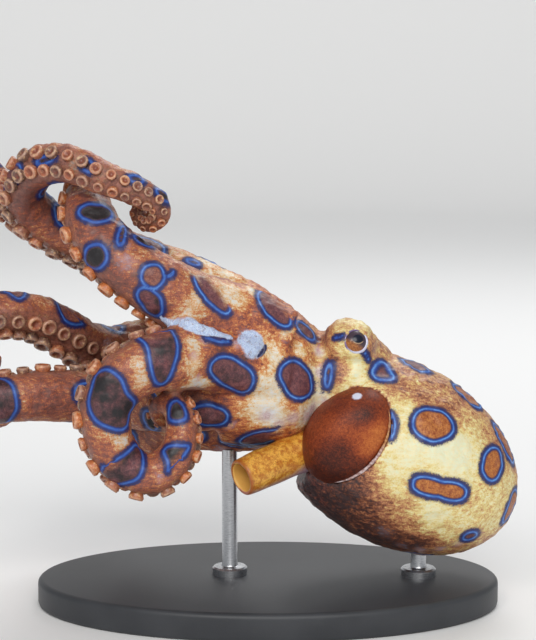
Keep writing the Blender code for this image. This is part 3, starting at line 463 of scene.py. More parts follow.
def level_hoop(middle, height, wide, deep, sides):
    """A hoop that lies level, its middle given as x and y."""
    return hoop((*middle, height), (wide, 0, 0), (0, deep, 0), sides)


def upright_hoop(x, z, radius, sides, wider=1.0):
    """A hoop that stands across the X axis."""
    return hoop((x, 0, z), (0, wider * radius, 0), (0, 0, radius), sides)


def srgb(red, green, blue):
    """A linear colour from the usual 0 to 255 values."""
    def linear(c):
        c /= 255
        return c / 12.92 if c <= 0.04045 else ((c + 0.055) / 1.055) ** 2.4
    return (linear(red), linear(green), linear(blue), 1)


# Colours of the ground by its level, of the arms further out and on their sucker side, and of the
# lilac haze, which is partly the skin's own and partly a painted sheen
MANTLE_TONES = [(0.0, srgb(228, 230, 198)), (0.15, srgb(234, 224, 178)), (0.3, srgb(226, 206, 134)),
                (0.48, srgb(202, 154, 100)), (0.62, srgb(178, 116, 80)), (0.8, srgb(122, 70, 50)),
                (1.0, srgb(64, 46, 46))]
CROWN_TONES = [(0.0, srgb(222, 222, 222)), (0.14, srgb(230, 214, 184)), (0.3, srgb(216, 166, 104)),
               (0.46, srgb(196, 114, 62)), (0.6, srgb(160, 82, 56)), (0.8, srgb(106, 58, 54)),
               (1.0, srgb(58, 42, 46))]
COLLAR_TONES = [(0.0, srgb(226, 170, 96)), (0.4, srgb(190, 108, 52)), (0.62, srgb(154, 72, 36)),
                (0.78, srgb(118, 50, 27)), (1.0, srgb(62, 30, 24))]
OUTER_ARM_TONES = (srgb(124, 74, 64), srgb(172, 106, 82))
SUCKER_SIDE_TONES = (srgb(98, 66, 60), srgb(156, 104, 88))
LILAC_TONES = (srgb(176, 138, 148), srgb(212, 196, 208))
# The ink marks, and the rings' blue line with its brighter middle
INK = srgb(26, 32, 84)
RING_BLUE = srgb(30, 72, 158)
RING_CORE = srgb(100, 156, 224)
# Inside the rings: on the mantle, on the crown and arms, and where they are darkest
MANTLE_RING_TONES = (srgb(202, 130, 62), srgb(136, 58, 24))
CROWN_RING_TONES = (srgb(140, 84, 84), srgb(84, 44, 54))
RING_BLACK = srgb(22, 17, 22)
# The white fold and knob, and their specks
WHITE_TONES = (srgb(160, 178, 216), srgb(208, 222, 242))
WHITE_SPECKS = srgb(138, 122, 136)
# Bands round each ring's line: how far it reaches, how soft its edge is, colour, strength
RING_BANDS = [(1.25, 0.6, srgb(84, 52, 50), 0.75), (0.94, 0.36, srgb(28, 36, 94), 0.95)]


# Meshes


def mesh_piece(name, points, faces):
    """An object from points in millimetres, with its faces turned outwards."""
    mesh = bpy.data.meshes.new(name)
    mesh.from_pydata((np.asarray(points, float) * MM).tolist(), [], faces)
    shape = bmesh.new()
    shape.from_mesh(mesh)
    bmesh.ops.recalc_face_normals(shape, faces=shape.faces)
    shape.to_mesh(mesh)
    shape.free()
    mesh.shade_smooth()
    obj = bpy.data.objects.new(name, mesh)
    bpy.context.scene.collection.objects.link(obj)
    return obj


def loft(rings, start_point=None, end_point=None):
    """Points and faces of a closed skin over rings of equal count, each end flat or pointed."""
    count = len(rings[0])
    points = [tuple(p) for ring in rings for p in ring]
    last = (len(rings) - 1) * count
    faces = []
    for k in range(len(rings) - 1):
        a, b = k * count, (k + 1) * count
        faces += [(a + i, a + (i + 1) % count, b + (i + 1) % count, b + i) for i in range(count)]
    for first, end in ((0, start_point), (last, end_point)):
        if end is None:
            faces.append(tuple(range(first, first + count)))
        else:
            points.append(tuple(end))
            faces += [(first + i, first + (i + 1) % count, len(points) - 1) for i in range(count)]
    return points, faces


def ellipsoid(middle, axes, semi, around=48, along=30):
    """Points and faces of an ellipsoid on three unit axes, the first from pole to pole."""
    a, b, c = (np.asarray(v, float) for v in axes)
    rings = []
    for k in range(1, along):
        t = math.pi * k / along
        wide = math.sin(t)
        rings.append(hoop(middle - a * semi[0] * math.cos(t), b * semi[1] * wide, c * semi[2] * wide, around))
    return loft(rings, middle - a * semi[0], middle + a * semi[0])


def carve(obj, cutters, operation="DIFFERENCE"):
    """Applies one exact Boolean for each cutter, and removes the cutters."""
    for cutter in cutters:
        modifier = obj.modifiers.new("carve", "BOOLEAN")
        modifier.operation = operation
        modifier.object = cutter
        modifier.solver = "EXACT"
    bpy.context.view_layer.update()
    graph = bpy.context.evaluated_depsgraph_get()
    made = bpy.data.meshes.new_from_object(obj.evaluated_get(graph))
    obj.modifiers.clear()
    obj.data = made
    for cutter in cutters:
        bpy.data.objects.remove(cutter, do_unlink=True)
    return obj


def joined(name, pieces):
    """One object that holds the meshes of all the pieces, which are removed."""
    whole = bmesh.new()
    for piece in pieces:
        whole.from_mesh(piece.data)
        bpy.data.objects.remove(piece, do_unlink=True)
    mesh = bpy.data.meshes.new(name)
    whole.to_mesh(mesh)
    whole.free()
    obj = bpy.data.objects.new(name, mesh)
    bpy.context.scene.collection.objects.link(obj)
    return obj


def vertex_places(mesh):
    """Every vertex's place, in millimetres."""
    flat = np.empty(len(mesh.vertices) * 3, np.float32)
    mesh.vertices.foreach_get("co", flat)
    return flat.reshape(-1, 3).astype(float) / MM


def vertex_normals(mesh):
    """Every vertex's normal."""
    flat = np.empty(len(mesh.vertices) * 3, np.float32)
    mesh.vertex_normals.foreach_get("vector", flat)
    return flat.reshape(-1, 3).astype(float)


def set_places(mesh, places):
    """Moves every vertex to its place in millimetres."""
    mesh.vertices.foreach_set("co", (places * MM).astype(np.float32).ravel())
    mesh.update()


def store(mesh, name, values):
    """Keeps one number for each vertex, for the materials to read."""
    mesh.attributes.new(name, "FLOAT", "POINT").data.foreach_set("value", np.asarray(values, np.float32))


def remeshed(obj, voxel, smoothing):
    """Fuses the object's overlapping pieces into one even skin, then smooths it at constant volume."""
    modifier = obj.modifiers.new("fuse", "REMESH")
    modifier.mode = "VOXEL"
    modifier.voxel_size = voxel * MM
    bpy.context.view_layer.update()
    made = bpy.data.meshes.new_from_object(obj.evaluated_get(bpy.context.evaluated_depsgraph_get()))
    obj.modifiers.clear()
    obj.data = made
    ends = np.empty(len(made.edges) * 2, np.int32)
    made.edges.foreach_get("vertices", ends)
    a, b = ends.reshape(-1, 2).T
    places = vertex_places(made)
    near = np.bincount(np.r_[a, b], minlength=len(places))[:, None]
    for step in range(2 * smoothing):
        total = np.stack([np.bincount(np.r_[a, b], np.r_[places[b, k], places[a, k]], len(places))
                          for k in range(3)], 1)
        places += SMOOTHING_WEIGHTS[step % 2] * (total / near - places)
    set_places(made, places)
    made.shade_smooth()
    return obj


# The photograph's view


def view_axes():
    """Towards the camera, to its right and up, as seen from the target."""
    back = np.array([0.0, -math.cos(VIEW_RISE), math.sin(VIEW_RISE)])
    right = np.array([1.0, 0.0, 0.0])
    return back, right, np.cross(back, right)


def camera_place():
    """Where the camera stands, in millimetres."""
    return VIEW_TARGET + VIEW_DISTANCE * view_axes()[0]


def to_pixels(places):
    """Where points in millimetres fall in the photograph's frame, and their depth."""
    back, right, up = view_axes()
    off = places - VIEW_TARGET
    depth = VIEW_DISTANCE - off @ back
    scale = VIEW_DISTANCE / depth / PIXEL
    return np.stack([PICTURE[0] / 2 + off @ right * scale, PICTURE[1] / 2 - off @ up * scale], 1), depth


def pixel_ray(pixel):
    """Direction from the camera through a pixel of the frame."""
    back, right, up = view_axes()
    across = (pixel[0] - PICTURE[0] / 2) * PIXEL
    rise = (PICTURE[1] / 2 - pixel[1]) * PIXEL
    return unit(-VIEW_DISTANCE * back + across * right + rise * up)


class Surface:
    """Finds places on a mesh, by a pixel of the photograph or by the nearest point."""

    def __init__(self, mesh):
        mesh.calc_loop_triangles()
        corners = np.empty(len(mesh.loop_triangles) * 3, np.int32)
        mesh.loop_triangles.foreach_get("vertices", corners)
        places = vertex_places(mesh)
        self.tree = BVHTree.FromPolygons(places.tolist(), corners.reshape(-1, 3).tolist())

    def seen(self, pixel):
        """(place, normal) of the first surface behind a pixel, or of the nearest one beside it."""
        eye, ray = camera_place(), pixel_ray(pixel)
        place, normal, _, _ = self.tree.ray_cast(Vector(eye), Vector(ray))
        if place is None:
            for share in np.linspace(0.8, 1.2, 81):
                near = self.tree.find_nearest(Vector(eye + ray * VIEW_DISTANCE * share))
                if place is None or near[3] < best:
                    place, normal, _, best = near
        return np.array(place), np.array(normal)

    def nearest(self, point):
        """(place, normal) of the surface nearest a point."""
        place, normal, _, _ = self.tree.find_nearest(Vector(point))
        return np.array(place), np.array(normal)

    def hit(self, start, ray):
        """(place, normal) of the first surface along a ray."""
        place, normal, _, _ = self.tree.ray_cast(Vector(start), Vector(ray))
        return np.array(place), np.array(normal)

    def hidden(self, place, normal):
        """Whether the camera can't see the place."""
        ray = unit(place - camera_place())
        if normal @ ray > -GRAZING:
            return True
        found, _, _, _ = self.tree.ray_cast(Vector(camera_place()), Vector(ray))
        return found is None or np.linalg.norm(np.array(found) - place) > BEHIND


# The arms


def smooth_path(points):
    """A centripetal Catmull-Rom curve through the points, resampled evenly by length."""
    p = [np.array(q, float) for q in points]
    p = [2 * p[0] - p[1]] + p + [2 * p[-1] - p[-2]]
    found = []
    for i in range(1, len(p) - 2):
        p0, p1, p2, p3 = p[i - 1:i + 3]
        t0 = 0.0
        t1 = t0 + math.sqrt(np.linalg.norm(p1 - p0))
        t2 = t1 + math.sqrt(np.linalg.norm(p2 - p1))
        t3 = t2 + math.sqrt(np.linalg.norm(p3 - p2))
        for t in np.linspace(t1, t2, 24, endpoint=False):
            a1 = (t1 - t) / (t1 - t0) * p0 + (t - t0) / (t1 - t0) * p1
            a2 = (t2 - t) / (t2 - t1) * p1 + (t - t1) / (t2 - t1) * p2
            a3 = (t3 - t) / (t3 - t2) * p2 + (t - t2) / (t3 - t2) * p3
            b1 = (t2 - t) / (t2 - t0) * a1 + (t - t0) / (t2 - t0) * a2
            b2 = (t3 - t) / (t3 - t1) * a2 + (t - t1) / (t3 - t1) * a3
            found.append((t2 - t) / (t2 - t1) * b1 + (t - t1) / (t2 - t1) * b2)
    found = np.array(found + [p[-2]])
    along = np.r_[0, np.cumsum(np.linalg.norm(np.diff(found, axis=0), axis=1))]
    even = np.arange(0, along[-1], ARM_STEP)
    return np.stack([np.interp(even, along, found[:, k]) for k in range(3)], 1)


def turned(v, axis, angle):
    """The vector turned about a unit axis."""
    c, s = math.cos(angle), math.sin(angle)
    return v * c + np.cross(axis, v) * s + axis * (axis @ v) * (1 - c)


class Arm:
    """The centre line of one arm with its radius, direction and sucker side at every step."""

    def __init__(self, radius, taper, stem, oral, curl):
        self.root, self.taper = radius, taper
        path = smooth_path(stem)
        self.long = (len(path) - 1) * ARM_STEP + curl["long"]
        facing = self.stem_facing(path, stem, oral)
        self.path, self.facing = self.with_curl(path, facing, curl)
        self.tangent = np.gradient(self.path, axis=0)
        self.tangent /= np.linalg.norm(self.tangent, axis=1)[:, None]
        self.facing -= self.tangent * (self.facing * self.tangent).sum(1)[:, None]
        self.facing /= np.linalg.norm(self.facing, axis=1)[:, None]
        self.long = (len(self.path) - 1) * ARM_STEP

    @staticmethod
    def stem_facing(path, stem, oral):
        """Towards the mouth's axis at the root, then through the named sides."""
        root = [k for k in range(4) if k not in oral]
        named = {k: unit([0, -stem[k][1], MOUTH_MIDDLE_Z - stem[k][2]]) for k in root}
        named.update({k: unit(v) for k, v in oral.items()})
        keys = sorted(named)
        place = [int(np.argmin(np.linalg.norm(path - np.array(stem[k], float), axis=1))) for k in keys]
        sides = np.array([named[k] for k in keys])
        steps = np.arange(len(path))
        return np.stack([np.interp(steps, place, sides[:, c]) for c in range(3)], 1)

    def radius(self, s):
        """The arm's radius at a length from its root."""
        share = np.clip(1 - np.asarray(s, float) / self.long, 0, 1)
        return np.maximum(self.root * share ** self.taper, ARM_TIP_RADIUS)

    def with_curl(self, path, facing, curl):
        """Goes on past the stem in a curl whose bends tighten as the arm thins."""
        axis = unit(curl["axis"])
        heading = unit(path[-1] - path[-2])
        side = facing[-1]
        place, s = path[-1], (len(path) - 1) * ARM_STEP
        places, sides = [], []
        while s < self.long - ARM_STEP / 2:
            angle = ARM_STEP / (curl["bend"] * float(self.radius(s)))
            heading, side = turned(heading, axis, angle), turned(side, axis, angle)
            place = place + ARM_STEP * unit(heading + curl["drift"] * axis)
            s += ARM_STEP
            places.append(place)
            sides.append(side)
        return np.vstack([path, places]), np.vstack([facing, sides])

    def at(self, s):
        """Place, heading, sucker side, cross direction and radius at a length from the root."""
        k = s / ARM_STEP
        i = min(int(k), len(self.path) - 2)
        w = k - i
        place = self.path[i] * (1 - w) + self.path[i + 1] * w
        heading = unit(self.tangent[i] * (1 - w) + self.tangent[i + 1] * w)
        facing = self.facing[i] * (1 - w) + self.facing[i + 1] * w
        facing = unit(facing - heading * (heading @ facing))
        return place, heading, facing, np.cross(heading, facing), float(self.radius(s))

    def ring(self, s, sides=22):
        """A section: flat where the suckers sit, with a low keel along each edge of that face."""
        place, _, facing, across, r = self.at(s)
        high, edge, wide = KEEL
        ring = []
        for u in np.linspace(0, 2 * math.pi, sides, endpoint=False):
            turn = min(u, 2 * math.pi - u)
            swell = 1 - ORAL_FLATNESS * max(0.0, math.cos(u)) + high * math.exp(-((turn - edge) / wide) ** 2)
            ring.append(place + r * swell * (facing * math.cos(u) + across * math.sin(u)))
        return ring

    def tube(self, name):
        """The arm's flesh, with sections that lie closer where it is thin."""
        stations = [0.0]
        while stations[-1] < self.long - 0.6:
            stations.append(stations[-1] + max(0.35, min(0.9, 0.25 * float(self.radius(stations[-1])))))
        stations[-1] = self.long - 0.4
        return mesh_piece(name, *loft([self.ring(s) for s in stations], end_point=self.path[-1]))

    def sucker_places(self):
        """(place, up, heading, radius, length from the root) of each sucker, in two rows."""
        s, side, found = SUCKER_START, 1, []
        while s < self.long - 0.5:
            place, heading, facing, across, r = self.at(s)
            size = min(SUCKER_MOST, max(SUCKER_LEAST, SUCKER_SHARE * r))
            size *= min(1.0, SUCKER_FIRST + (s - SUCKER_START) / SUCKER_GROWS)
            lean = math.radians(SUCKER_LEAN) * side
            up = facing * math.cos(lean) + across * math.sin(lean)
            found.append((place + up * r * (1 - ORAL_FLATNESS), up, heading, size, s))
            s += SUCKER_PITCH * size
            side = -side
        return found


# The flesh


def mantle_axes():
    """Along the mantle to its tip, down across it, and away from the camera."""
    axis = unit(MANTLE_AXIS)
    return axis, unit([axis[2], 0, -axis[0]]), np.array([0.0, 1.0, 0.0])


def opening_frame(near):
    """The middle and axes of the oval opening, which leans further forward than the mantle's front."""
    lean = math.radians(COLLAR_LEAN)
    axis, down, away = (turned(v, np.array([0.0, 1.0, 0.0]), lean) for v in mantle_axes())
    return COLLAR_MIDDLE + OPENING_SHIFT + near * away, (axis, down, away)


def mantle_rim():
    """The edge of the mantle where the opening cuts the left side."""
    axis, down, away = mantle_axes()
    middle = MANTLE_FRONT + axis * FRONT_TO_MIDDLE
    cutter, (across, along, _) = opening_frame(OPENING_NEAR)
    rim = []
    for turn in np.radians(np.linspace(-118, 118, 61)):
        ray = across * math.cos(turn) * OPENING_SEMI[0] + along * math.sin(turn) * OPENING_SEMI[1]
        low, high = 0.0, 1.0
        for _ in range(30):
            share = (low + high) / 2
            flat = cutter + ray * share
            flat[1] = cutter[1] - OPENING_SEMI[2] * math.sqrt(1 - share ** 2)
            off = flat - middle
            reach = (off @ axis / MANTLE_LONG) ** 2 + (off @ down / MANTLE_HIGH) ** 2
            reach += (off @ away / MANTLE_DEEP) ** 2
            low, high = (share, high) if reach > 1 else (low, share)
        rim.append(flat)
    return np.array([p for p in rim if (p - MANTLE_FRONT) @ axis > -0.2 and p[2] < RIM_TOP])


def make_rim_line(finish):
    """The fine rolled edge of the mantle's opening, pinched out at both ends and pale below."""
    line = smooth_path(mantle_rim())
    rings = []
    for k, place in enumerate(line):
        heading = unit(line[min(k + 1, len(line) - 1)] - line[max(k - 1, 0)])
        out = unit(np.cross(heading, MANTLE_AXIS))
        other = np.cross(heading, out)
        share = k / (len(line) - 1)
        full = RIM_LINE_PINCH + (1 - RIM_LINE_PINCH) * math.sin(math.pi * share) ** 0.5
        r = RIM_LINE_RADIUS * (full + RIM_LINE_UNEVEN * math.sin(60 * share))
        rings.append(hoop(place, r * out, r * other, 10))
    edge = mesh_piece("mantle_edge", *loft(rings, line[0], line[-1]))
    rows = to_pixels(vertex_places(edge.data))[0][:, 1]
    store(edge.data, "pale", np.clip((rows - RIM_PALE_BELOW) / 12, 0, 1))
    edge.data.materials.append(finish)
    return edge


def mantle_flesh():
    """The mantle's egg, cut flat at its front and open on the left side."""
    axis, down, away = axes = mantle_axes()
    middle = MANTLE_FRONT + axis * FRONT_TO_MIDDLE
    semi = (MANTLE_LONG, MANTLE_HIGH, MANTLE_DEEP)
    mantle = mesh_piece("mantle_flesh", *ellipsoid(middle, axes, semi, 72, 48))
    cut = [hoop(MANTLE_FRONT - axis * t, 40 * down, 40 * away, 8) for t in (0.0, 30.0)]
    front = mesh_piece("front", *loft(cut))
    opening = mesh_piece("opening", *ellipsoid(*opening_frame(OPENING_NEAR), OPENING_SEMI, 96, 48))
    return carve(mantle, [front, opening])


def mirrored(point):
    """The same place on the animal's right side."""
    side = unit(LEFTWARD)
    return point - 2 * ((point - HEAD_MIDDLE) @ side) * side


def eye_frames():
    """(name, bump's middle, eye's middle, aim) of the two eyes."""
    side, aim = unit(LEFTWARD), unit(EYE_AIM)
    other = aim - 2 * (aim @ side) * side
    right = mirrored(EYE_BUMP)
    return [("left_eye", EYE_BUMP, EYE_BUMP + aim * EYE_SET, aim),
            ("right_eye", right, right + other * EYE_SET, other)]


def tilted_ring(middle, aim, shape, swell=0.0):
    """A fold that runs round an aim at an angle from it on the eye, with a swell at its lower front."""
    sides, around = 10, 48
    side = unit(np.cross(aim, [0, 0, 1]))
    up = np.cross(side, aim)
    degrees, stand_off, tube = shape
    turn, radius = math.radians(degrees), EYE_RADIUS + stand_off
    points, faces = [], []
    for k in range(around):
        u = 2 * math.pi * k / around
        out = side * math.cos(u) + up * math.sin(u)
        foot = middle + radius * (aim * math.cos(turn) + out * math.sin(turn))
        stand = unit(foot - middle)
        across = np.cross(stand, unit(np.cross(stand, out)))
        thick = tube + swell * max(0.0, math.cos(u - EYE_RIM_SWELL_AT))
        for i in range(sides):
            v = 2 * math.pi * i / sides
            points.append(foot + thick * (0.7 * stand * math.cos(v) + across * math.sin(v)))
            here, ahead, beside = k * sides, (k + 1) % around * sides, (i + 1) % sides
            faces.append((here + i, here + beside, ahead + beside, ahead + i))
    return points, faces


def head_flesh():
    """The head's ball with its two eye bumps, each hollowed for the eye, and a fold for the lid."""
    world = np.eye(3)
    head = mesh_piece("head_flesh", *ellipsoid(HEAD_MIDDLE, world, HEAD_SEMI, 48, 32))
    bumps, sockets, lids = [], [], []
    for _, bump, eye, aim in eye_frames():
        bumps.append(mesh_piece("bump", *ellipsoid(bump, world, [EYE_BUMP_RADIUS] * 3, 40, 24)))
        sockets.append(mesh_piece("socket", *ellipsoid(eye, world, [EYE_RADIUS - SOCKET_INSET] * 3, 32, 16)))
        lids.append(mesh_piece("lid", *tilted_ring(eye, aim, LID)))
    carve(head, bumps, "UNION")
    carve(head, sockets)
    return [head] + lids


def crown_flesh(arms):
    """The bell with its mouth hollow, and webs that fill between neighbouring arms at their roots."""
    bell = mesh_piece("bell", *loft([upright_hoop(x, z, r, 48, 1.04) for x, z, r in CROWN_BELL]))
    opening = upright_hoop(CROWN_BELL[-1][0] - 1, MOUTH_MIDDLE_Z + 1, MOUTH_OPEN_RADIUS, 32)
    floor = upright_hoop(MOUTH_FLOOR_X, MOUTH_MIDDLE_Z, MOUTH_FLOOR_RADIUS, 32)
    cavity = mesh_piece("cavity", *loft([opening, floor]))
    pieces = [carve(bell, [cavity])]
    names = list(arms)
    for name, other in zip(names, names[1:] + names[:1]):
        pieces += web(arms[name], arms[other])
    return pieces


def web(arm, other):
    """A tapering filler along the middle of two arms, as far as they lie side by side."""
    rings, end = [], None
    for s in np.arange(1.0, WEB_REACH, 1.0):
        place, _, facing, _, r = arm.at(s)
        beside, _, facing_2, _, r2 = other.at(s)
        apart = np.linalg.norm(place - beside)
        if apart > WEB_NEARNESS * (r + r2):
            end = (place + beside) / 2
            break
        across = unit(beside - place)
        out = unit(-(facing + facing_2) + 1e-6)
        out = unit(out - across * (out @ across))
        middle = (place + beside) / 2 + out * WEB_LIFT * r
        thick = WEB_THICKNESS * min(r, r2) * (1 - WEB_THINNING * (apart / (r + r2)) ** 3)
        rings.append(hoop(middle, apart / 2 * across, thick * out, 20))
    return [mesh_piece("web", *loft(rings, end_point=end))] if len(rings) > 2 else []


def web_fold(surface):
    """The white fold along the crown and the pale knob that it ends at."""
    found = [surface.seen(pixel) for pixel, _ in FOLD_SEEN]
    line = np.array([place + normal * FOLD_LIFT for place, normal in found])
    radii = [r for _, r in FOLD_SEEN]
    path = smooth_path(line)
    along = np.linspace(0, 1, len(path))
    wide = np.interp(along, np.linspace(0, 1, len(radii)), radii)
    rings = []
    for k, place in enumerate(path):
        heading = unit(path[min(k + 1, len(path) - 1)] - path[max(k - 1, 0)])
        normal = unit(found[0][1] * (1 - along[k]) + found[-1][1] * along[k])
        side = unit(np.cross(heading, normal))
        up = np.cross(side, heading)
        rings.append(hoop(place, wide[k] * side, 0.8 * wide[k] * up, 14))
    fold = mesh_piece("fold", *loft(rings, path[0], path[-1]))
    place, normal = surface.seen(KNOB_SEEN)
    side = unit(np.cross(normal, [0, 0, 1]))
    knob = mesh_piece("knob", *ellipsoid(place, (normal, side, np.cross(normal, side)), KNOB_SEMI, 28, 16))
    return [fold, knob], path, wide, place


def roughen(mesh):
    """Stands low warts and papillae out of the skin, highest on the head and the upper side."""
    places, normals = vertex_places(mesh), vertex_normals(mesh)
    lift = np.zeros(len(places))
    for size, height in WARTS:
        found = np.array([noise.noise(Vector(p)) for p in places / size])
        lift += height * np.clip(found, -0.35, 1)
    upper = 0.7 + 0.5 * np.clip(normals[:, 2], 0, 1)
    near_eye = np.exp(-(np.linalg.norm(places - EYE_BUMP, axis=1) / 6) ** 2)
    set_places(mesh, places + normals * (lift * (upper + 0.5 * near_eye))[:, None])


def make_skin(arms):
    """One skin over mantle, head, crown and arms. Also gives the white fold's path and knob."""
    pieces = [mantle_flesh()] + head_flesh() + crown_flesh(arms)
    pieces += [arm.tube(name + "_flesh") for name, arm in arms.items()]
    flesh = joined("skin", pieces)
    extras, path, wide, knob = web_fold(Surface(flesh.data))
    flesh = joined("skin", [flesh] + extras)
    remeshed(flesh, SKIN_VOXEL, SKIN_SMOOTHING)
    roughen(flesh.data)
    return flesh, (path, wide, knob)


# Markings


def outline(ring, angle):
    """The ring's radius in millimetres at an angle in radians."""
    a, b = ring["semi"]
    power = ring.get("square", 2.0)
    r = ((np.abs(np.cos(angle)) / a) ** power + (np.abs(np.sin(angle)) / b) ** power) ** (-1 / power)
    for order, amount, towards in ring.get("lobes", ()):
        r = r * (1 + amount * np.cos(order * (angle - math.radians(towards - ring["turn"]))))
    return r * (1 + 0.02 * np.cos(5 * angle + a * 7) + 0.015 * np.cos(3 * angle + b * 11))


def smooth_line(points, closed):
    """A Catmull-Rom line through given points, back to the first one if it is closed."""
    p = np.array(points, float)
    before, after = (p[-1:], p[:2]) if closed else (2 * p[:1] - p[1:2], 2 * p[-1:] - p[-2:-1])
    p = np.vstack([before, p, after])
    t = np.linspace(0, 1, 6, endpoint=False)[:, None]
    line = [b + 0.5 * ((c - a) * t + (2 * a - 5 * b + 4 * c - d) * t ** 2 + (3 * b - a - 3 * c + d) * t ** 3)
            for a, b, c, d in zip(p, p[1:], p[2:], p[3:])]
    return np.vstack(line + [p[1:2] if closed else p[-2:-1]])


def line_offset(line, spots):
    """From the nearest place on a line to each spot."""
    start, span = line[:-1], np.diff(line, axis=0)
    share = ((spots[:, None] - start) * span).sum(2) / np.maximum((span ** 2).sum(1), 1e-9)
    off = spots[:, None] - start - np.clip(share, 0, 1)[..., None] * span
    pick = (off ** 2).sum(2).argmin(1)
    return off[np.arange(len(spots)), pick]


def within(line, spots):
    """Whether each spot lies inside the line once its ends are joined."""
    a, b = line, np.roll(line, -1, axis=0)
    x, y = spots[:, :1], spots[:, 1:]
    rise = np.where(b[:, 1] == a[:, 1], 1e-9, b[:, 1] - a[:, 1])
    crossed = ((a[:, 1] > y) != (b[:, 1] > y)) & (x < a[:, 0] + (b[:, 0] - a[:, 0]) * (y - a[:, 1]) / rise)
    return crossed.sum(1) % 2 == 1


def path_distance(ring, spots, scale):
    """As outline_distance, for a ring given by the pixels that its line passes."""
    line = smooth_line(ring["path"], not ring.get("open"))
    off = line_offset(line, spots)
    far = np.linalg.norm(off, axis=1)
    sign = np.where(within(line, spots), -1, 1)
    gradient = off / np.maximum(far, 1e-6)[:, None] * sign[:, None] * np.array([1, -1])
    filled = np.ones(len(spots))
    if ring.get("open"):
        shut = np.linalg.norm(line_offset(line[[-1, 0]], spots), axis=1)
        filled = np.clip(shut * scale / 1.4, 0, 1)
    return far * sign * scale, gradient, np.ones(len(spots)), filled


def outline_distance(ring, across, rise):
    """Signed distance from the outline, negative inside, its gradient, and how much of line and
    inside are drawn there."""
    angle = np.arctan2(rise, across)
    local = angle - math.radians(ring["turn"])
    r = outline(ring, local)
    slope = (outline(ring, local + 0.01) - outline(ring, local - 0.01)) / 0.02 / r
    steep = np.sqrt(1 + slope ** 2)
    gradient = np.stack([np.cos(angle) + slope * np.sin(angle), np.sin(angle) - slope * np.cos(angle)], 1)
    drawn = np.ones(len(angle))
    if "gap" in ring:
        towards, half = ring["gap"]
        off = np.abs((np.degrees(angle) - towards + 180) % 360 - 180)
        drawn = np.clip((off - half) / 9, 0, 1)
    distance = (np.hypot(across, rise) - r) / steep
    return distance, gradient / steep[:, None], drawn, np.maximum(drawn, np.clip(-distance / 1.2, 0, 1))


def seen_ring(ring, surface, places, normals, pixels, depth):
    """Distance of every near vertex from a ring that is placed in the photograph's view."""
    centre, _ = surface.seen(ring_middle(ring))
    back, right, up = view_axes()
    far = np.linalg.norm(places - centre, axis=1)
    near = np.flatnonzero((far < 1.6 * ring_reach(ring) + 2.5) & (normals @ back > 0.03))
    scale = PIXEL * depth[near] / VIEW_DISTANCE
    if "path" in ring:
        distance, gradient, drawn, filled = path_distance(ring, pixels[near], scale)
    else:
        off = (pixels[near] - np.array(ring["at"])) * scale[:, None]
        distance, gradient, drawn, filled = outline_distance(ring, off[:, 0], -off[:, 1])
    slant = gradient[:, :1] * right + gradient[:, 1:] * up
    lean = np.sqrt(np.clip(1 - (slant * normals[near]).sum(1) ** 2, 0.06, 1))
    return near, distance / lean, drawn, filled


def ring_middle(ring):
    """The pixel at a ring's middle."""
    return np.mean(ring["path"], axis=0) if "path" in ring else np.array(ring["at"], float)


def ring_reach(ring):
    """How far a ring reaches from its middle, in millimetres."""
    if "path" in ring:
        return PIXEL * np.linalg.norm(np.array(ring["path"]) - ring_middle(ring), axis=1).max()
    return max(ring["semi"])


def edge_ring(ring, surface):
    """A ring that the photograph shows edge on, laid on the skin with its long axis along the outline."""
    place, normal = surface.seen(ring["at"])
    turn = math.radians(ring["turn"])
    back, right, up = view_axes()
    if normal @ back < 0.25:
        place, normal = surface.nearest(place + EDGE_NEARER * back)
    along = right * math.cos(turn) + up * math.sin(turn)
    return laid(place, normal, ring["semi"], 0, along, ring["shade"])


def laid_ring(ring, places, normals):
    """Distance of every near vertex from a ring that lies on the skin about its own centre."""
    centre, normal, across = ring["centre"], ring["normal"], ring["across"]
    reach = 1.3 * max(ring["semi"]) + 2.0
    off = places - centre
    far = np.linalg.norm(off, axis=1)
    near = np.flatnonzero((far < reach) & (normals @ normal > -0.15))
    flat = off[near] - (off[near] @ normal)[:, None] * normal
    flat *= (far[near] / np.maximum(np.linalg.norm(flat, axis=1), 1e-6))[:, None]
    distance, _, drawn, filled = outline_distance(ring, flat @ across, flat @ np.cross(normal, across))
    return near, distance, drawn, filled


def laid(place, normal, semi, turn, along, shade):
    """A ring that lies on the skin, its turn counted from a direction along it."""
    across = unit(along - normal * (along @ normal))
    return dict(centre=place, normal=normal, across=across, semi=semi, turn=turn, shade=shade)


def mantle_rings(surface):
    """Rings round the rest of the mantle."""
    axis, down, away = mantle_axes()
    found = []
    for share, around, a, b, turn in RINGS_ROUND_MANTLE:
        t = math.radians(around)
        out = -away * math.cos(t) - down * math.sin(t)
        start = MANTLE_FRONT + axis * (share * (MANTLE_LONG + FRONT_TO_MIDDLE - 2))
        hit = surface.hit(start + out * 60, -out)
        found.append(laid(*hit, (a, b), turn, axis, MANTLE_RING_SHADE))
    return found


def crown_rings(surface):
    """Rings on the far side and underside of the crown."""
    found = []
    for x, around, a, b, turn in RINGS_ROUND_CROWN:
        t = math.radians(around)
        out = np.array([0, -math.cos(t), math.sin(t)])
        hit = surface.hit(np.array([x, 0, MOUTH_MIDDLE_Z]) + out * 60, -out)
        found.append(laid(*hit, (a, b), turn, np.array([1.0, 0, 0]), CROWN_RING_SHADE))
    return found


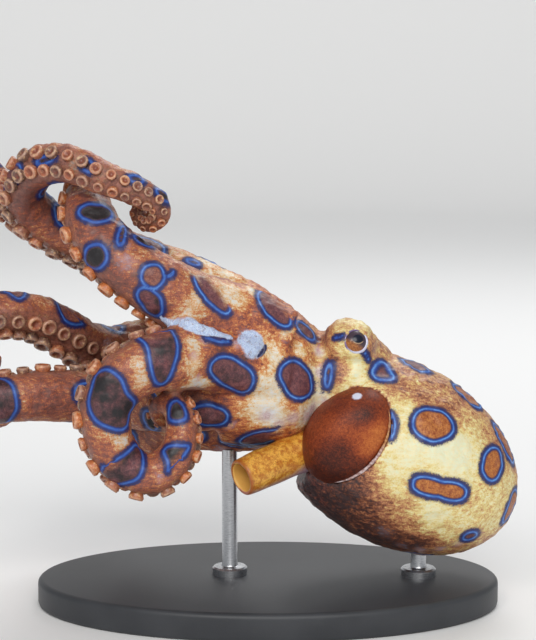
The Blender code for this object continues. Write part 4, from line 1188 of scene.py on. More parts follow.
def arm_rings(surface, arms):
    """Rings along the back and flanks of each arm where the camera doesn't see them."""
    found = []
    for n, arm in enumerate(arms.values()):
        s, side = ARM_RINGS_FROM + 2 * (n % 3), 1 if n % 2 else -1
        tilt = 10 * (n % 5) - 20
        while s < arm.long - ARM_RINGS_END:
            place, heading, facing, across, r = arm.at(s)
            for turn, share in ARM_RING_SIDES:
                out = -facing * math.cos(turn * side) + across * math.sin(turn * side)
                spot, normal = surface.nearest(place + out * r)
                if surface.hidden(spot, normal):
                    semi = (ARM_RING_LONGER * share * r, share * r)
                    found.append(laid(spot, normal, semi, tilt, heading, ARM_RING_SHADE))
                s += ARM_RING_STEP * r
            side = -side
    return found


def mark_rings(mesh, surface, arms, places, normals):
    """Stores each vertex's distance from its nearest ring, how much of the ring's line and inside is
    drawn there, and the shade inside."""
    pixels, depth = to_pixels(places)
    nearest = np.full(len(places), 9.0)
    line = np.ones(len(places))
    shade = np.zeros(len(places))
    full = np.ones(len(places))
    taken = [surface.seen(ring_middle(ring))[0] for ring in RINGS_SEEN]
    sizes = [ring_reach(ring) for ring in RINGS_SEEN]
    found = [seen_ring(ring, surface, places, normals, pixels, depth) + (ring["shade"], ring.get("inner", 1))
             for ring in RINGS_SEEN]
    at_edge = [edge_ring(ring, surface) for ring in RINGS_AT_EDGE]
    others = mantle_rings(surface) + crown_rings(surface) + arm_rings(surface, arms)
    for n, ring in enumerate(at_edge + others):
        size = max(ring["semi"])
        crowded = any(np.linalg.norm(ring["centre"] - c) < size + r + RING_ROOM for c, r in zip(taken, sizes))
        if crowded and n >= len(at_edge):
            continue
        taken.append(ring["centre"])
        sizes.append(size)
        found.append(laid_ring(ring, places, normals) + (ring["shade"], 1))
    for near, distance, drawn, filled, tone, inner in found:
        distance = np.where(distance < 0, inner * distance, distance)
        closer = distance < nearest[near]
        picked = near[closer]
        nearest[picked] = distance[closer]
        line[picked] = drawn[closer]
        full[picked] = filled[closer]
        shade[picked] = tone
    store(mesh, "ring_distance", np.clip(nearest, -RING_DISTANCE_KEPT, RING_DISTANCE_KEPT))
    store(mesh, "ring_line", line)
    store(mesh, "ring_full", full)
    store(mesh, "ring_shade", shade)


def opening_shade_mask(places):
    """Which vertices line the mantle's opening, whose walls get painted shade."""
    middle, axes = opening_frame(OPENING_NEAR)
    off = (places - middle) @ np.array(axes).T / OPENING_SEMI
    inside = np.clip((1.04 - np.linalg.norm(off, axis=1)) / 0.03, 0, 1)
    return np.where(places[:, 0] > COLLAR_MIDDLE[0], inside, 0)


def mark_tints(mesh, surface, places, patches, both_sides=True, ground=GROUND_LEVEL, opening_shade=0.0):
    """Stores how dark the ground is at every vertex, with painted shade on the walls of the mantle's opening,
    and gives the overlays that lie on it.
    """
    # Painted shade: the walls of the mantle's opening are pulled towards the darkest tint
    dark = OPENING_SHADE_HOLD * opening_shade * np.ones(len(places))
    hold = GROUND_HOLD + dark
    level = GROUND_HOLD * ground + dark * TINT_LEVELS["dusk_and_shade"]
    over = {tint: np.zeros(len(places)) for tint in OVERLAYS}
    spots = [(tint, *spot) for tint, group in patches.items() for spot in group]
    for tint, across, down, radius, strength in spots:
        centre, _ = surface.seen((across, down))
        copies = [(centre, strength)]
        if both_sides and tint != "ink":
            copies.append((centre * np.array([1, -1, 1]), FAR_SIDE * strength))
        for middle, amount in copies:
            weight = amount * np.exp(-(np.linalg.norm(places - middle, axis=1) / radius) ** 2)
            if tint in over:
                over[tint] = np.maximum(over[tint], weight)
            else:
                level += TINT_LEVELS[tint] * weight
                hold += weight
    store(mesh, "level", level / hold)
    return over


def mark_whites(places, white, fold):
    """Adds the white of the web's fold and its knob."""
    path, wide, knob = fold
    spots = [(place, r + FOLD_LIFT, FOLD_WHITE) for place, r in zip(path, wide)]
    for place, radius, (middle, fall, most) in spots + [(knob, max(KNOB_SEMI), KNOB_WHITE)]:
        far = np.linalg.norm(places - place, axis=1) / radius
        white = np.maximum(white, np.clip(middle - fall * far, 0, most))
    return white


def mark_arms(mesh, arms, places):
    """Stores how far each vertex faces the suckers, and how far out along an arm it lies."""
    oral, reach = np.zeros(len(places)), np.zeros(len(places))
    best = np.full(len(places), 1e9)
    for arm in arms.values():
        for k in range(round(ARM_MARKS_FROM / ARM_STEP), len(arm.path), 2):
            off = places - arm.path[k]
            far = np.linalg.norm(off, axis=1)
            closer = np.flatnonzero((far < best) & (far < ARM_MARKS_NEAR))
            best[closer] = far[closer]
            oral[closer] = (off[closer] @ arm.facing[k]) / np.maximum(far[closer], 0.1)
            reach[closer] = k / len(arm.path)
    store(mesh, "oral", np.clip(oral, -1, 1))
    store(mesh, "reach", reach)


def make_marked_skin(arms, finish):
    """The skin, with all that its material reads stored on it."""
    skin, fold = make_skin(arms)
    mesh = skin.data
    surface = Surface(mesh)
    places = vertex_places(mesh)
    mark_rings(mesh, surface, arms, places, vertex_normals(mesh))
    over = mark_tints(mesh, surface, places, PATCHES_SEEN, opening_shade=opening_shade_mask(places))
    over["white"] = mark_whites(places, over["white"], fold)
    for name, weight in over.items():
        store(mesh, name, weight)
    mark_arms(mesh, arms, places)
    mesh.materials.clear()
    mesh.materials.append(finish)
    return skin


# Materials


def add(tree, kind, inputs=None, **settings):
    """A node with its settings, and its inputs set to values or linked to sockets."""
    made = tree.nodes.new(kind)
    for key, value in settings.items():
        setattr(made, key, value)
    for key, value in (inputs or {}).items():
        if isinstance(value, bpy.types.NodeSocket):
            tree.links.new(value, made.inputs[key])
        else:
            made.inputs[key].default_value = value
    return made


def math_node(tree, operation, first, second=0.0):
    """The result of one sum."""
    return add(tree, "ShaderNodeMath", {0: first, 1: second}, operation=operation).outputs[0]


def times(tree, first, second):
    """Product of two values."""
    return math_node(tree, "MULTIPLY", first, second)


def plus(tree, first, second):
    """Sum of two values."""
    return math_node(tree, "ADD", first, second)


def minus(tree, first, second):
    """Difference of two values."""
    return math_node(tree, "SUBTRACT", first, second)


def blend(tree, factor, first, second):
    """The first colour, turned into the second by the factor."""
    return add(tree, "ShaderNodeMix", {0: factor, 6: first, 7: second}, data_type="RGBA").outputs[2]


def between(tree, value, low, high, start=0.0, end=1.0):
    """The value's place from low to high, clamped and eased."""
    return add(tree, "ShaderNodeMapRange", {0: value, 1: low, 2: high, 3: start, 4: end},
               interpolation_type="SMOOTHSTEP").outputs[0]


def attribute(tree, name):
    """A number that the mesh keeps for each vertex."""
    return add(tree, "ShaderNodeAttribute", attribute_name=name).outputs["Fac"]


def in_millimetres(tree):
    """The place on the piece, in millimetres."""
    coords = add(tree, "ShaderNodeTexCoord").outputs["Object"]
    return add(tree, "ShaderNodeVectorMath", {0: coords, "Scale": 1 / MM}, operation="SCALE").outputs[0]


def mottle(tree, where, size, detail=3.0, rough=0.6, offset=0.0):
    """Noise from 0 to 1 whose blotches are about the size given, in millimetres."""
    if offset:
        where = add(tree, "ShaderNodeVectorMath", {0: where, 1: (offset, offset * 0.7, -offset)},
                    operation="ADD").outputs[0]
    return add(tree, "ShaderNodeTexNoise", {"Vector": where, "Scale": 1 / size, "Detail": detail,
                                            "Roughness": rough}).outputs[0]


def new_material(name, **values):
    """A material with its Principled shader, whose plain values are set by name."""
    made = bpy.data.materials.new(name)
    made.use_nodes = True
    tree = made.node_tree
    shader = tree.nodes["Principled BSDF"]
    for key, value in values.items():
        shader.inputs[key.replace("_", " ")].default_value = value
    return made, tree, shader


def bumped(tree, shader, height, distance, strength=1.0):
    """Bump from a height of 0 to 1 that stands the distance given, in millimetres."""
    made = add(tree, "ShaderNodeBump", {"Height": height, "Distance": distance * MM, "Strength": strength})
    tree.links.new(made.outputs[0], shader.inputs["Normal"])


def toned(tree, value, tones):
    """A colour for a value from 0 to 1, through the tones at their places."""
    ramp = add(tree, "ShaderNodeValToRGB", {0: value})
    stops = ramp.color_ramp.elements
    stops[0].color, stops[1].color = tones[0][1], tones[-1][1]
    for place, tone in tones[1:-1]:
        stops.new(place).color = tone
    return ramp.outputs[0]


def varied(tree, value, *noises):
    """The value with every (noise, amount) added about its middle."""
    for noise_value, amount in noises:
        off = times(tree, minus(tree, noise_value, 0.5), amount)
        value = plus(tree, value, off)
    return value


def ground_colour(tree, where):
    """The skin between its rings, from creamy white through yellow and orange to dark brown, with the
    speckles of its colour cells drawn out along the body. The crown and arms are the redder ones."""
    broad = mottle(tree, where, 3.0, 2)
    fine = mottle(tree, where, 0.75, 4, 0.7, 11)
    grain = mottle(tree, where, 0.22, 2, 0.6, 23)
    along = add(tree, "ShaderNodeMapping", {"Vector": where, "Rotation": (0, math.radians(-33), 0),
                                            "Scale": (0.3, 1, 1)}).outputs[0]
    fibre = mottle(tree, along, 0.5, 3, 0.65, 31)
    level = attribute(tree, "level")
    speckle = varied(tree, 0.0, (broad, 0.5), (fine, 0.8), (fibre, 0.8), (grain, 0.6))
    speckle = times(tree, speckle, between(tree, level, 0.0, 0.45, 0.45, 1.1))
    speckle = times(tree, speckle, between(tree, attribute(tree, "reach"), 0.05, 0.4, 1.0, 1.35))
    level = plus(tree, level, speckle)
    forward = varied(tree, add(tree, "ShaderNodeSeparateXYZ", {0: where}).outputs[0], (broad, 14.0))
    colour = blend(tree, between(tree, forward, 4, 14), toned(tree, level, CROWN_TONES),
                   toned(tree, level, MANTLE_TONES))
    outer = between(tree, attribute(tree, "reach"), 0.05, 0.4, 0, 0.35)
    colour = blend(tree, outer, colour, blend(tree, between(tree, fine, 0.4, 0.6), *OUTER_ARM_TONES))
    oral = between(tree, attribute(tree, "oral"), 0.25, 0.8, 0, 0.7)
    colour = blend(tree, oral, colour, blend(tree, between(tree, fine, 0.4, 0.6), *SUCKER_SIDE_TONES))
    # The lilac is partly the skin's own and partly a painted sheen along the mantle's outline
    lilac = varied(tree, attribute(tree, "lilac"), (fine, 0.9), (fibre, 0.7))
    lilac_and_sheen = blend(tree, between(tree, grain, 0.35, 0.65), *LILAC_TONES)
    return blend(tree, between(tree, lilac, 0.25, 1.05, 0, 0.8), colour, lilac_and_sheen), fine, grain


def ringed_colour(tree, where, colour, fine, grain):
    """Paints the rings over the ground: dark halo, navy band, blue line with a pale core."""
    distance = varied(tree, attribute(tree, "ring_distance"), (fine, 0.26))
    shade = attribute(tree, "ring_shade")
    drawn = attribute(tree, "ring_line")
    level = varied(tree, 0.6, (fine, 0.9), (grain, 0.7))
    inner = blend(tree, between(tree, shade, 0.1, 0.4),
                  blend(tree, between(tree, level, 0.35, 0.85), *MANTLE_RING_TONES),
                  blend(tree, between(tree, level, 0.3, 0.8), *CROWN_RING_TONES))
    gloom = varied(tree, shade, (mottle(tree, where, 2.6, 3, 0.6, 31), 0.9))
    gloom = times(tree, between(tree, gloom, 0.62, 0.98), between(tree, shade, 0.5, 0.75))
    inner = blend(tree, gloom, inner, RING_BLACK)
    inside = times(tree, between(tree, distance, 0.1, -0.35), attribute(tree, "ring_full"))
    colour = blend(tree, inside, colour, inner)
    width = math_node(tree, "ABSOLUTE", distance)
    outer = math_node(tree, "MAXIMUM", distance, times(tree, distance, -1.6))
    outer = varied(tree, outer, (grain, 0.8), (fine, 0.7))
    for reach, soft, tone, amount in RING_BANDS:
        band = between(tree, outer, reach, reach - soft, 0, amount)
        colour = blend(tree, times(tree, band, drawn), colour, tone)
    blue = times(tree, between(tree, width, 0.4, 0.16), drawn)
    colour = blend(tree, blue, colour, RING_BLUE)
    bright = between(tree, mottle(tree, where, 1.6, 2, 0.5, 47), 0.34, 0.6, 0.35, 0.85)
    bright = times(tree, bright, between(tree, attribute(tree, "reach"), 0.1, 0.5, 1.0, 0.55))
    bright = times(tree, bright, between(tree, shade, 0.4, 1.0, 1.0, 0.5))
    core = times(tree, between(tree, width, 0.2, 0.04), times(tree, bright, drawn))
    return blend(tree, core, colour, RING_CORE)


def skin_material():
    """The skin: ground, ink marks, rings and the whites, over low warts."""
    made, tree, shader = new_material("octopus_skin", Roughness=0.5, Subsurface_Weight=0.06,
                                      Subsurface_Scale=0.0008, Coat_Weight=0.14, Coat_Roughness=0.25)
    where = in_millimetres(tree)
    colour, fine, grain = ground_colour(tree, where)
    ink = between(tree, varied(tree, attribute(tree, "ink"), (fine, 0.5)), 0.35, 0.7)
    colour = blend(tree, ink, colour, INK)
    colour = ringed_colour(tree, where, colour, fine, grain)
    white = between(tree, varied(tree, attribute(tree, "white"), (fine, 0.5)), 0.3, 0.7)
    pale = blend(tree, between(tree, grain, 0.3, 0.7), *WHITE_TONES)
    pale = blend(tree, between(tree, fine, 0.48, 0.36, 0, 0.7), pale, WHITE_SPECKS)
    colour = blend(tree, white, colour, pale)
    colour = blend(tree, times(tree, ink, white), colour, INK)
    tree.links.new(colour, shader.inputs["Base Color"])
    warts = add(tree, "ShaderNodeTexVoronoi", {"Vector": where, "Scale": 1 / 0.9, "Smoothness": 0.6},
                feature="SMOOTH_F1").outputs[0]
    height = varied(tree, times(tree, warts, -0.55), (fine, 0.7), (grain, 0.25))
    bumped(tree, shader, height, 0.22, 0.7)
    return made


def collar_material():
    """The collar's smooth chestnut skin with dark blotches, painted shade at its lower left and one painted
    highlight.
    """
    made, tree, shader = new_material("collar_skin", Roughness=0.5, Specular_IOR_Level=0.25)
    where = in_millimetres(tree)
    broad = mottle(tree, where, 4.0, 3)
    fine = mottle(tree, where, 0.5, 4, 0.7, 5)
    grain = mottle(tree, where, 0.2, 2)
    level = varied(tree, attribute(tree, "level"), (broad, 0.3), (fine, 0.6), (grain, 0.5))
    colour = toned(tree, level, COLLAR_TONES)
    # Painted highlight
    colour = blend(tree, between(tree, attribute(tree, "white"), 0.35, 0.75), colour, srgb(214, 218, 236))
    tree.links.new(colour, shader.inputs["Base Color"])
    bumped(tree, shader, fine, 0.08, 0.5)
    return made


def funnel_material():
    """The funnel's ochre skin, paler in the bore and lilac underneath."""
    made, tree, shader = new_material("funnel_skin", Roughness=0.4, Subsurface_Weight=0.08,
                                      Subsurface_Scale=0.001, Coat_Weight=0.2, Coat_Roughness=0.2)
    where = in_millimetres(tree)
    fine, grain = mottle(tree, where, 0.9, 4, 0.7), mottle(tree, where, 0.25, 2, 0.6, 9)
    colour = blend(tree, between(tree, fine, 0.38, 0.62), srgb(186, 112, 30), srgb(228, 172, 70))
    colour = blend(tree, between(tree, grain, 0.56, 0.7, 0, 0.7), colour, srgb(128, 66, 22))
    under = varied(tree, attribute(tree, "under"), (fine, 0.6))
    colour = blend(tree, between(tree, under, 0.35, 0.9, 0, 0.85), colour, srgb(186, 158, 180))
    colour = blend(tree, between(tree, attribute(tree, "rim"), 0.3, 0.9, 0, 0.8), colour, srgb(160, 82, 30))
    colour = blend(tree, between(tree, attribute(tree, "bore"), 0.2, 0.9), colour, srgb(226, 176, 92))
    tree.links.new(colour, shader.inputs["Base Color"])
    bumped(tree, shader, fine, 0.12, 0.6)
    return made


def sucker_material():
    """The suckers' flesh, from dusky brown to orange where light is painted on, with a pale rim round the cup
    that is partly a painted highlight, and painted shade deep in the cup.
    """
    made, tree, shader = new_material("sucker_skin", Roughness=0.4, Subsurface_Weight=0.08,
                                      Subsurface_Scale=0.0008, Coat_Weight=0.2, Coat_Roughness=0.2)
    where = in_millimetres(tree)
    fine, tone = mottle(tree, where, 0.6, 3, 0.6), attribute(tree, "tone")
    cup, lit = attribute(tree, "cup"), attribute(tree, "lit")
    side = blend(tree, between(tree, tone, 0.1, 0.8), srgb(112, 84, 74), srgb(172, 100, 70))
    # Painted light turns the lit suckers orange
    side = blend(tree, between(tree, lit, 0.2, 0.9), side, srgb(194, 108, 52))
    side = blend(tree, between(tree, fine, 0.52, 0.66, 0, 0.65), side, srgb(224, 186, 140))
    side = blend(tree, between(tree, fine, 0.47, 0.34, 0, 0.6), side, srgb(104, 56, 42))
    # The pale rim is partly the rim's own paleness and partly a painted highlight
    rim = times(tree, between(tree, cup, 0.5, 0.9), between(tree, cup, 0.96, 0.9))
    colour = blend(tree, times(tree, rim, 0.5), side, srgb(220, 176, 148))
    # Painted shade deep in the cup
    colour = blend(tree, between(tree, cup, 0.5, 0.1, 0, 0.75), colour, srgb(128, 66, 52))
    tree.links.new(colour, shader.inputs["Base Color"])
    bumped(tree, shader, fine, 0.06, 0.5)
    return made


def eye_material():
    """A dark oval pupil in a gold brown iris that darkens to violet above, under a clear wet coat."""
    made, tree, shader = new_material("eye", Roughness=0.3, Specular_IOR_Level=0.35, Coat_Weight=0.3,
                                      Coat_Roughness=0.08)
    where = in_millimetres(tree)
    fine = mottle(tree, where, 0.3, 4, 0.7)
    side, rise = attribute(tree, "eye_side"), attribute(tree, "eye_rise")
    across = math_node(tree, "DIVIDE", minus(tree, side, PUPIL_MIDDLE[0]), PUPIL_SEMI[0])
    upward = math_node(tree, "DIVIDE", minus(tree, rise, PUPIL_MIDDLE[1]), PUPIL_SEMI[1])
    pupil = plus(tree, times(tree, across, across), times(tree, upward, upward))
    far = math_node(tree, "SQRT", plus(tree, times(tree, side, side), times(tree, rise, rise)))
    colour = blend(tree, between(tree, fine, 0.35, 0.65), srgb(132, 72, 34), srgb(182, 118, 60))
    dark = minus(tree, rise, times(tree, side, 0.6))
    colour = blend(tree, between(tree, dark, -0.5, -0.05), colour, srgb(66, 50, 62))
    glint = times(tree, between(tree, pupil, 1.6, 1.3), between(tree, rise, -0.02, -0.12))
    colour = blend(tree, times(tree, glint, 0.75), colour, srgb(206, 176, 140))
    colour = blend(tree, between(tree, pupil, 1.25, 0.85), colour, srgb(10, 16, 40))
    colour = blend(tree, between(tree, far, 0.74, 0.82), colour, srgb(178, 160, 176))
    tree.links.new(colour, shader.inputs["Base Color"])
    bumped(tree, shader, fine, 0.03, 0.4)
    return made


def eye_rim_material():
    """The pale ring round the eye, violet above."""
    made, tree, shader = new_material("eye_rim", Roughness=0.2, Coat_Weight=0.8, Coat_Roughness=0.05,
                                      Subsurface_Weight=0.2, Subsurface_Scale=0.0006)
    lower = varied(tree, attribute(tree, "lower"), (mottle(tree, in_millimetres(tree), 0.5, 3), 0.8))
    colour = blend(tree, between(tree, lower, 0.2, 0.9), srgb(128, 106, 148), srgb(204, 204, 226))
    tree.links.new(colour, shader.inputs["Base Color"])
    return made


def edge_material():
    """The mantle's rolled edge, tan above and pale below."""
    made, tree, shader = new_material("pale_edge", Roughness=0.4)
    fine = mottle(tree, in_millimetres(tree), 0.5, 3)
    pale = blend(tree, between(tree, fine, 0.38, 0.6), srgb(160, 122, 116), srgb(214, 196, 196))
    tan = blend(tree, between(tree, fine, 0.38, 0.6), srgb(142, 82, 48), srgb(196, 146, 92))
    colour = blend(tree, attribute(tree, "pale"), tan, pale)
    tree.links.new(colour, shader.inputs["Base Color"])
    return made


def mouth_material():
    """The lips' flesh and the dark beak."""
    made, tree, shader = new_material("mouth", Roughness=0.35, Coat_Weight=0.3, Coat_Roughness=0.1)
    fine = mottle(tree, in_millimetres(tree), 0.5, 4, 0.7)
    colour = blend(tree, between(tree, fine, 0.35, 0.65), srgb(150, 96, 78), srgb(206, 160, 128))
    colour = blend(tree, between(tree, attribute(tree, "beak"), 0.4, 0.6), colour, srgb(34, 20, 14))
    tree.links.new(colour, shader.inputs["Base Color"])
    bumped(tree, shader, fine, 0.15, 0.7)
    return made


def base_material():
    """The stand's charcoal coat."""
    made, tree, shader = new_material("charcoal_coat", Roughness=0.48, Specular_IOR_Level=0.4)
    where = in_millimetres(tree)
    fine, broad = mottle(tree, where, 0.35, 2, 0.5), mottle(tree, where, 14, 3)
    colour = blend(tree, between(tree, broad, 0.35, 0.65), srgb(52, 54, 58), srgb(60, 62, 66))
    tree.links.new(colour, shader.inputs["Base Color"])
    rough = plus(tree, times(tree, broad, 0.12), 0.4)
    tree.links.new(rough, shader.inputs["Roughness"])
    bumped(tree, shader, fine, 0.05, 0.35)
    return made


def rod_material():
    """Steel brushed along the rod."""
    made, tree, shader = new_material("brushed_steel", Metallic=1.0, Roughness=0.3)
    where = add(tree, "ShaderNodeMapping", {"Vector": in_millimetres(tree), "Scale": (1, 1, 12)}).outputs[0]
    brush = mottle(tree, where, 0.8, 3)
    colour = blend(tree, between(tree, brush, 0.3, 0.7), srgb(176, 178, 182), srgb(206, 207, 210))
    tree.links.new(colour, shader.inputs["Base Color"])
    tree.links.new(plus(tree, times(tree, brush, 0.2), 0.2), shader.inputs["Roughness"])
    return made


def floor_material():
    """The backdrop's matt off-white."""
    return new_material("pale_floor", Roughness=0.8, Base_Color=srgb(240, 240, 240))[0]


# The smaller pieces


def sucker_cup():
    """One sucker of radius 1 standing on +Z: a short stalk, a flared rim and a cupped face."""
    rings = [level_hoop((0, 0), h / MM, r / MM, r / MM, SUCKER_SIDES) for r, h, _ in SUCKER_PROFILE]
    cup = mesh_piece("sucker_cup", *loft(rings, end_point=(0, 0, SUCKER_FLOOR / MM)))
    store(cup.data, "cup", [w for _, _, w in SUCKER_PROFILE for _ in range(SUCKER_SIDES)] + [0.0])
    return cup


def sucker_tree(cup, finish):
    """Geometry Nodes that stand a sucker on each point, turned and sized by its attributes."""
    tree = bpy.data.node_groups.new("suckers", "GeometryNodeTree")
    tree.interface.new_socket("Geometry", in_out="INPUT", socket_type="NodeSocketGeometry")
    growth = tree.interface.new_socket("Growth", in_out="INPUT", socket_type="NodeSocketFloat")
    tree.interface.new_socket("Geometry", in_out="OUTPUT", socket_type="NodeSocketGeometry")
    start, end = tree.nodes.new("NodeGroupInput"), tree.nodes.new("NodeGroupOutput")
    shape = add(tree, "GeometryNodeObjectInfo", {"Object": cup})
    read = []
    for name, kind in (("up", "FLOAT_VECTOR"), ("heading", "FLOAT_VECTOR"), ("size", "FLOAT")):
        read.append(add(tree, "GeometryNodeInputNamedAttribute", {"Name": name}, data_type=kind).outputs[0])
    up, heading, size = read
    turn = add(tree, "FunctionNodeAlignRotationToVector", {"Vector": up}, axis="Z").outputs[0]
    turn = add(tree, "FunctionNodeAlignRotationToVector", {"Rotation": turn, "Vector": heading},
               axis="X", pivot_axis="Z").outputs[0]
    placed = add(tree, "GeometryNodeInstanceOnPoints", {
        "Points": start.outputs["Geometry"], "Instance": shape.outputs["Geometry"],
        "Rotation": turn, "Scale": times(tree, size, start.outputs["Growth"])})
    real = add(tree, "GeometryNodeRealizeInstances", {"Geometry": placed.outputs[0]})
    dressed = add(tree, "GeometryNodeSetMaterial", {"Geometry": real.outputs[0], "Material": finish})
    tree.links.new(dressed.outputs[0], end.inputs[0])
    return tree, growth.identifier


def make_suckers(arms, finish):
    """Two rows of suckers along every arm, as one mesh."""
    rng = np.random.default_rng(8)
    places, ups, headings, sizes, tones, lit = [], [], [], [], [], []
    for name, arm in arms.items():
        for place, up, heading, size, s in arm.sucker_places():
            places.append(place)
            ups.append(up)
            headings.append(heading)
            sizes.append(size * (1 + 0.08 * rng.standard_normal()))
            share = s / arm.long
            tones.append(rng.random() * (1.0 if name in SUCKER_WARMTH_AND_LIGHT else min(1.0, 0.25 + share)))
            # Painted light: suckers turned towards the camera's side get more of it
            glow = SUCKER_WARMTH_AND_LIGHT.get(name, max(0.0, share - 0.5)) * (1.0 if up[1] < 0.1 else 0.4)
            lit.append(min(1.0, max(0.0, glow + 0.15 * rng.standard_normal())))
    mesh = bpy.data.meshes.new("suckers")
    mesh.from_pydata((np.array(places) * MM).tolist(), [], [])
    for name, values in (("up", ups), ("heading", headings)):
        mesh.attributes.new(name, "FLOAT_VECTOR", "POINT").data.foreach_set("vector", np.ravel(values))
    for name, values in (("size", sizes), ("tone", tones), ("lit", lit)):
        store(mesh, name, values)
    suckers = bpy.data.objects.new("suckers", mesh)
    bpy.context.scene.collection.objects.link(suckers)
    cup = sucker_cup()
    tree, growth = sucker_tree(cup, finish)
    modifier = suckers.modifiers.new("suckers", "NODES")
    modifier.node_group = tree
    modifier[growth] = MM
    bpy.context.view_layer.update()
    made = bpy.data.meshes.new_from_object(suckers.evaluated_get(bpy.context.evaluated_depsgraph_get()))
    suckers.modifiers.clear()
    suckers.data = made
    made.shade_smooth()
    bpy.data.objects.remove(cup, do_unlink=True)
    return suckers


def make_collar(finish):
    """The smooth bulge at the funnel's root, seated in the mantle's opening."""
    semi = (COLLAR_SEMI[0] + COLLAR_SWELL, COLLAR_SEMI[1] + COLLAR_SWELL, COLLAR_SEMI[2])
    middle, axes = opening_frame(COLLAR_NEAR)
    points, faces = ellipsoid(middle, axes, semi, 96, 64)
    off = (np.array(points) - middle) @ np.array(axes).T / semi
    flat, deep = np.linalg.norm(off[:, :2], axis=1), np.abs(off[:, 2])
    share = (flat ** COLLAR_FULLNESS + deep ** COLLAR_FULLNESS) ** (-1 / COLLAR_FULLNESS)
    collar = mesh_piece("collar_bulge", middle + (np.array(points) - middle) * share[:, None], faces)
    places = vertex_places(collar.data)
    over = mark_tints(collar.data, Surface(collar.data), places, COLLAR_PATCHES_SEEN, both_sides=False,
                      ground=COLLAR_LEVEL)
    store(collar.data, "white", over["white"])
    collar.data.materials.append(finish)
    return collar


def make_funnel(finish):
    """A soft tube with a rolled rim, slightly fuller at its root, and its bore."""
    aim = unit(FUNNEL_AIM)
    side = unit(np.cross(aim, [0, 0, 1]))
    up = np.cross(side, aim)
    wide, slim = FUNNEL_BASE_RADIUS, FUNNEL_TIP_RADIUS
    bore = slim - FUNNEL_WALL
    outside = [(FUNNEL_LONG * t, slim + (wide - slim) * t ** FUNNEL_FLARE + FUNNEL_RIPPLE * math.sin(9 * t))
               for t in np.linspace(1, 0.03, 28)]
    middle, half = (slim + bore) / 2, (slim - bore) / 2
    rim = [(half * (1 - math.sin(v)), middle + half * math.cos(v))
           for v in np.linspace(0.15, math.pi - 0.15, 8)]
    inside = [(t, bore - 0.02 * t) for t in np.linspace(half + 0.3, FUNNEL_BORE_DEPTH, 14)]
    turns = np.linspace(0, 2 * math.pi, 48, endpoint=False)
    circle = side * np.cos(turns)[:, None] + up * np.sin(turns)[:, None]
    rings = []
    for t, r in outside + rim + inside:
        uneven = r * (1 + 0.012 * np.sin(3 * turns + t))[:, None]
        rings.append(FUNNEL_TIP - aim * t + uneven * circle)
    end = FUNNEL_TIP - aim * (FUNNEL_BORE_DEPTH + 0.6)
    funnel = mesh_piece("funnel_tube", *loft(rings, end_point=end))
    off = vertex_places(funnel.data) - FUNNEL_TIP
    back = -(off @ aim)
    out = np.linalg.norm(off + back[:, None] * aim, axis=1)
    in_bore = (out < bore + 0.15) & (back > -1)
    rise = (off @ up) / np.maximum(out, 0.1)
    store(funnel.data, "bore", in_bore)
    store(funnel.data, "rim", np.clip(1 - back / 1.3, 0, 1) * np.where(in_bore, 0, 1))
    store(funnel.data, "under", np.clip(-rise, 0, 1) * 0.8 + np.clip(back / 14 - 0.55, 0, 1))
    funnel.data.materials.append(finish)
    return funnel


def make_mouth(finish):
    """Folded lips round the beak's point."""
    z, r = MOUTH_MIDDLE_Z, MOUTH_RADIUS
    turns = np.linspace(0, 2 * math.pi, 4 * LIP_FRILLS, endpoint=False)
    rings = []
    for x, share in LIP_PROFILE:
        frill = 0.07 if 0.5 < share < 1 else 0.0
        reach = r * share * (1 + frill * np.cos(LIP_FRILLS * turns))
        out = np.full(len(turns), MOUTH_FLOOR_X + x)
        rings.append(np.stack([out, reach * np.cos(turns), z + reach * np.sin(turns)], axis=1))
    mouth = mesh_piece("lips", *loft(rings, end_point=(MOUTH_FLOOR_X - 1.9, 0, z - 0.1)))
    places = vertex_places(mouth.data)
    store(mouth.data, "beak", np.hypot(places[:, 1], places[:, 2] - z) < 0.42 * r)
    mouth.data.materials.append(finish)
    return mouth


def make_eyes(ball_finish, rim_finish):
    """Two wet eyeballs, each in a pale ring."""
    made = []
    for name, _, eye, aim in eye_frames():
        side = unit(np.cross(aim, [0, 0, 1]))
        up = np.cross(side, aim)
        ball = mesh_piece(name + "_ball", *ellipsoid(eye, (aim, side, up), [EYE_RADIUS] * 3, 40, 28))
        off = (vertex_places(ball.data) - eye) / EYE_RADIUS
        front = np.where(off @ aim > 0, 1.0, 3.0)
        store(ball.data, "eye_side", off @ side * front)
        store(ball.data, "eye_rise", off @ up * front)
        ball.data.materials.append(ball_finish)
        rim = mesh_piece(name + "_rim", *tilted_ring(eye, aim, EYE_RIM, EYE_RIM_SWELL))
        off = (vertex_places(rim.data) - eye) / EYE_RADIUS
        store(rim.data, "lower", 0.5 - 0.6 * (off @ (side + up)))
        rim.data.materials.append(rim_finish)
        made.append((name, ball, rim))
    return made


def stand_plate(finish):
    """The stand's oval plate with rounded edges."""
    profile = [(0.0, 0.6), (0.3, 0.15), (0.8, 0.0), (BASE_THICK - 1.0, 0.0), (BASE_THICK - 0.6, 0.08),
               (BASE_THICK - 0.3, 0.3), (BASE_THICK - 0.08, 0.6), (BASE_THICK, BASE_EDGE)]
    rings = [level_hoop((0, 0), z, BASE_LONG / 2 - inset, BASE_WIDE / 2 - inset, 144) for z, inset in profile]
    plate = mesh_piece("stand_plate", *loft(rings))
    plate.data.set_sharp_from_angle(angle=math.radians(50))
    plate.data.materials.append(finish)
    return plate


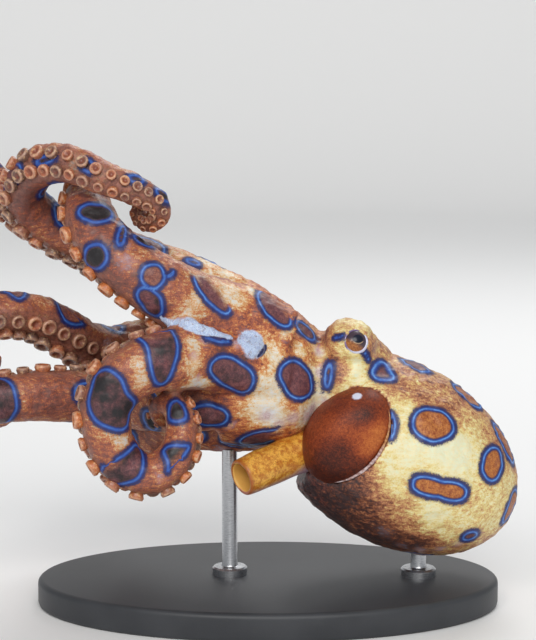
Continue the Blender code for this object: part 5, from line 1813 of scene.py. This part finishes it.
def stand_rod(name, node, at, finish):
    """A rod in its flange, from the plate up into the flesh."""
    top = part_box(node)[1][2] / MM + ROD_SINK
    foot = BASE_THICK - 0.02
    flange = foot + ROD_FLANGE_THICK + ROD_FLANGE_CHAMFER
    profile = [(ROD_FLANGE_RADIUS, foot), (ROD_FLANGE_RADIUS, flange - ROD_FLANGE_CHAMFER),
               (ROD_FLANGE_RADIUS - ROD_FLANGE_CHAMFER, flange), (ROD_RADIUS + 0.5, flange),
               (ROD_RADIUS + 0.15, flange + 0.12), (ROD_RADIUS, flange + 0.5), (ROD_RADIUS, top)]
    rings = [level_hoop(at, z, r, r, 40) for r, z in profile]
    rod = mesh_piece(name, *loft(rings))
    rod.data.set_sharp_from_angle(angle=math.radians(40))
    rod.data.materials.append(finish)
    return rod


# Camera, lights and floor


def make_camera():
    """The camera, whose frame is the photograph's."""
    data = bpy.data.cameras.new("camera")
    data.sensor_fit = "VERTICAL"
    data.angle_y = 2 * math.atan(PICTURE[1] / 2 * PIXEL / VIEW_DISTANCE)
    data.clip_start, data.clip_end = 0.01, 20
    camera = bpy.data.objects.new("camera", data)
    bpy.context.scene.collection.objects.link(camera)
    camera.location = Vector(camera_place() * MM)
    camera.rotation_euler = Vector(-view_axes()[0]).to_track_quat("-Z", "Y").to_euler()
    bpy.context.scene.camera = camera


def add_light(name, kind, power, colour, direction):
    """A light that shines in a direction. Gives the lamp's object."""
    data = bpy.data.lights.new(name, kind)
    data.energy, data.color = power, colour
    light = bpy.data.objects.new(name, data)
    bpy.context.scene.collection.objects.link(light)
    light.rotation_euler = Vector(direction).to_track_quat("-Z", "Y").to_euler()
    return light


def make_lights():
    """The key, the area lamps aimed at the animal, and the surround."""
    add_light("soft_key", "SUN", KEY_STRENGTH, WARM_WHITE, KEY_DIRECTION).data.angle = KEY_SOFTNESS
    for name, place, power, size, colour in AREA_LIGHTS:
        lamp = add_light(name, "AREA", power, colour, VIEW_TARGET * MM - np.array(place))
        lamp.location = place
        lamp.data.size = size
    world = bpy.data.worlds.new("studio")
    world.use_nodes = True
    world.node_tree.nodes["Background"].inputs[0].default_value = SURROUND
    world.node_tree.nodes["Background"].inputs[1].default_value = SURROUND_STRENGTH
    bpy.context.scene.world = world
    bpy.context.scene.view_settings.view_transform = "Standard"


def make_stage():
    """The pale floor that sweeps up behind the stand."""
    bend = [(SWEEP_FLAT + SWEEP_RADIUS * math.sin(t), SWEEP_RADIUS * (1 - math.cos(t)))
            for t in np.linspace(0, math.pi / 2, 25)]
    profile = [(-SWEEP_FLAT, 0.0), (-SWEEP_RADIUS, 0.0)] + bend + [(bend[-1][0], SWEEP_HIGH)]
    points = [(x, y, z) for y, z in profile for x in (-SWEEP_FLAT, SWEEP_FLAT)]
    faces = [(2 * k, 2 * k + 1, 2 * k + 3, 2 * k + 2) for k in range(len(profile) - 1)]
    floor = mesh_piece("floor", points, faces)
    floor.data.materials.append(floor_material())


def main():
    """Makes every piece and hides the solids that it stands for."""
    make_camera()
    make_stage()
    make_lights()
    arms = {name: Arm(**shape) for name, shape in ARMS.items()}
    flesh = [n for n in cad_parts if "_arm_" in n] + ["mantle", "head", "crown"]
    dressed = [(make_marked_skin(arms, skin_material()), "skin", flesh),
               (make_suckers(arms, sucker_material()), "skin", []),
               (make_collar(collar_material()), "collar_skin", ["collar"]),
               (make_funnel(funnel_material()), "funnel_skin", ["funnel"]),
               (make_rim_line(edge_material()), "skin", []),
               (make_mouth(mouth_material()), "mouth", ["mouth"]),
               (stand_plate(base_material()), "stand_base", ["stand_base"])]
    for name, ball, rim in make_eyes(eye_material(), eye_rim_material()):
        dressed += [(ball, "eye", [name]), (rim, "skin", [])]
    steel = rod_material()
    for node, at in (("stand_rod_mantle", MANTLE_ROD_AT), ("stand_rod_crown", CROWN_ROD_AT)):
        dressed.append((stand_rod(node + "_post", node, at, steel), "stand_rod", [node]))
    for piece, slot, nodes in dressed:
        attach(piece, "root")
        if nodes:
            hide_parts(*nodes)


main()
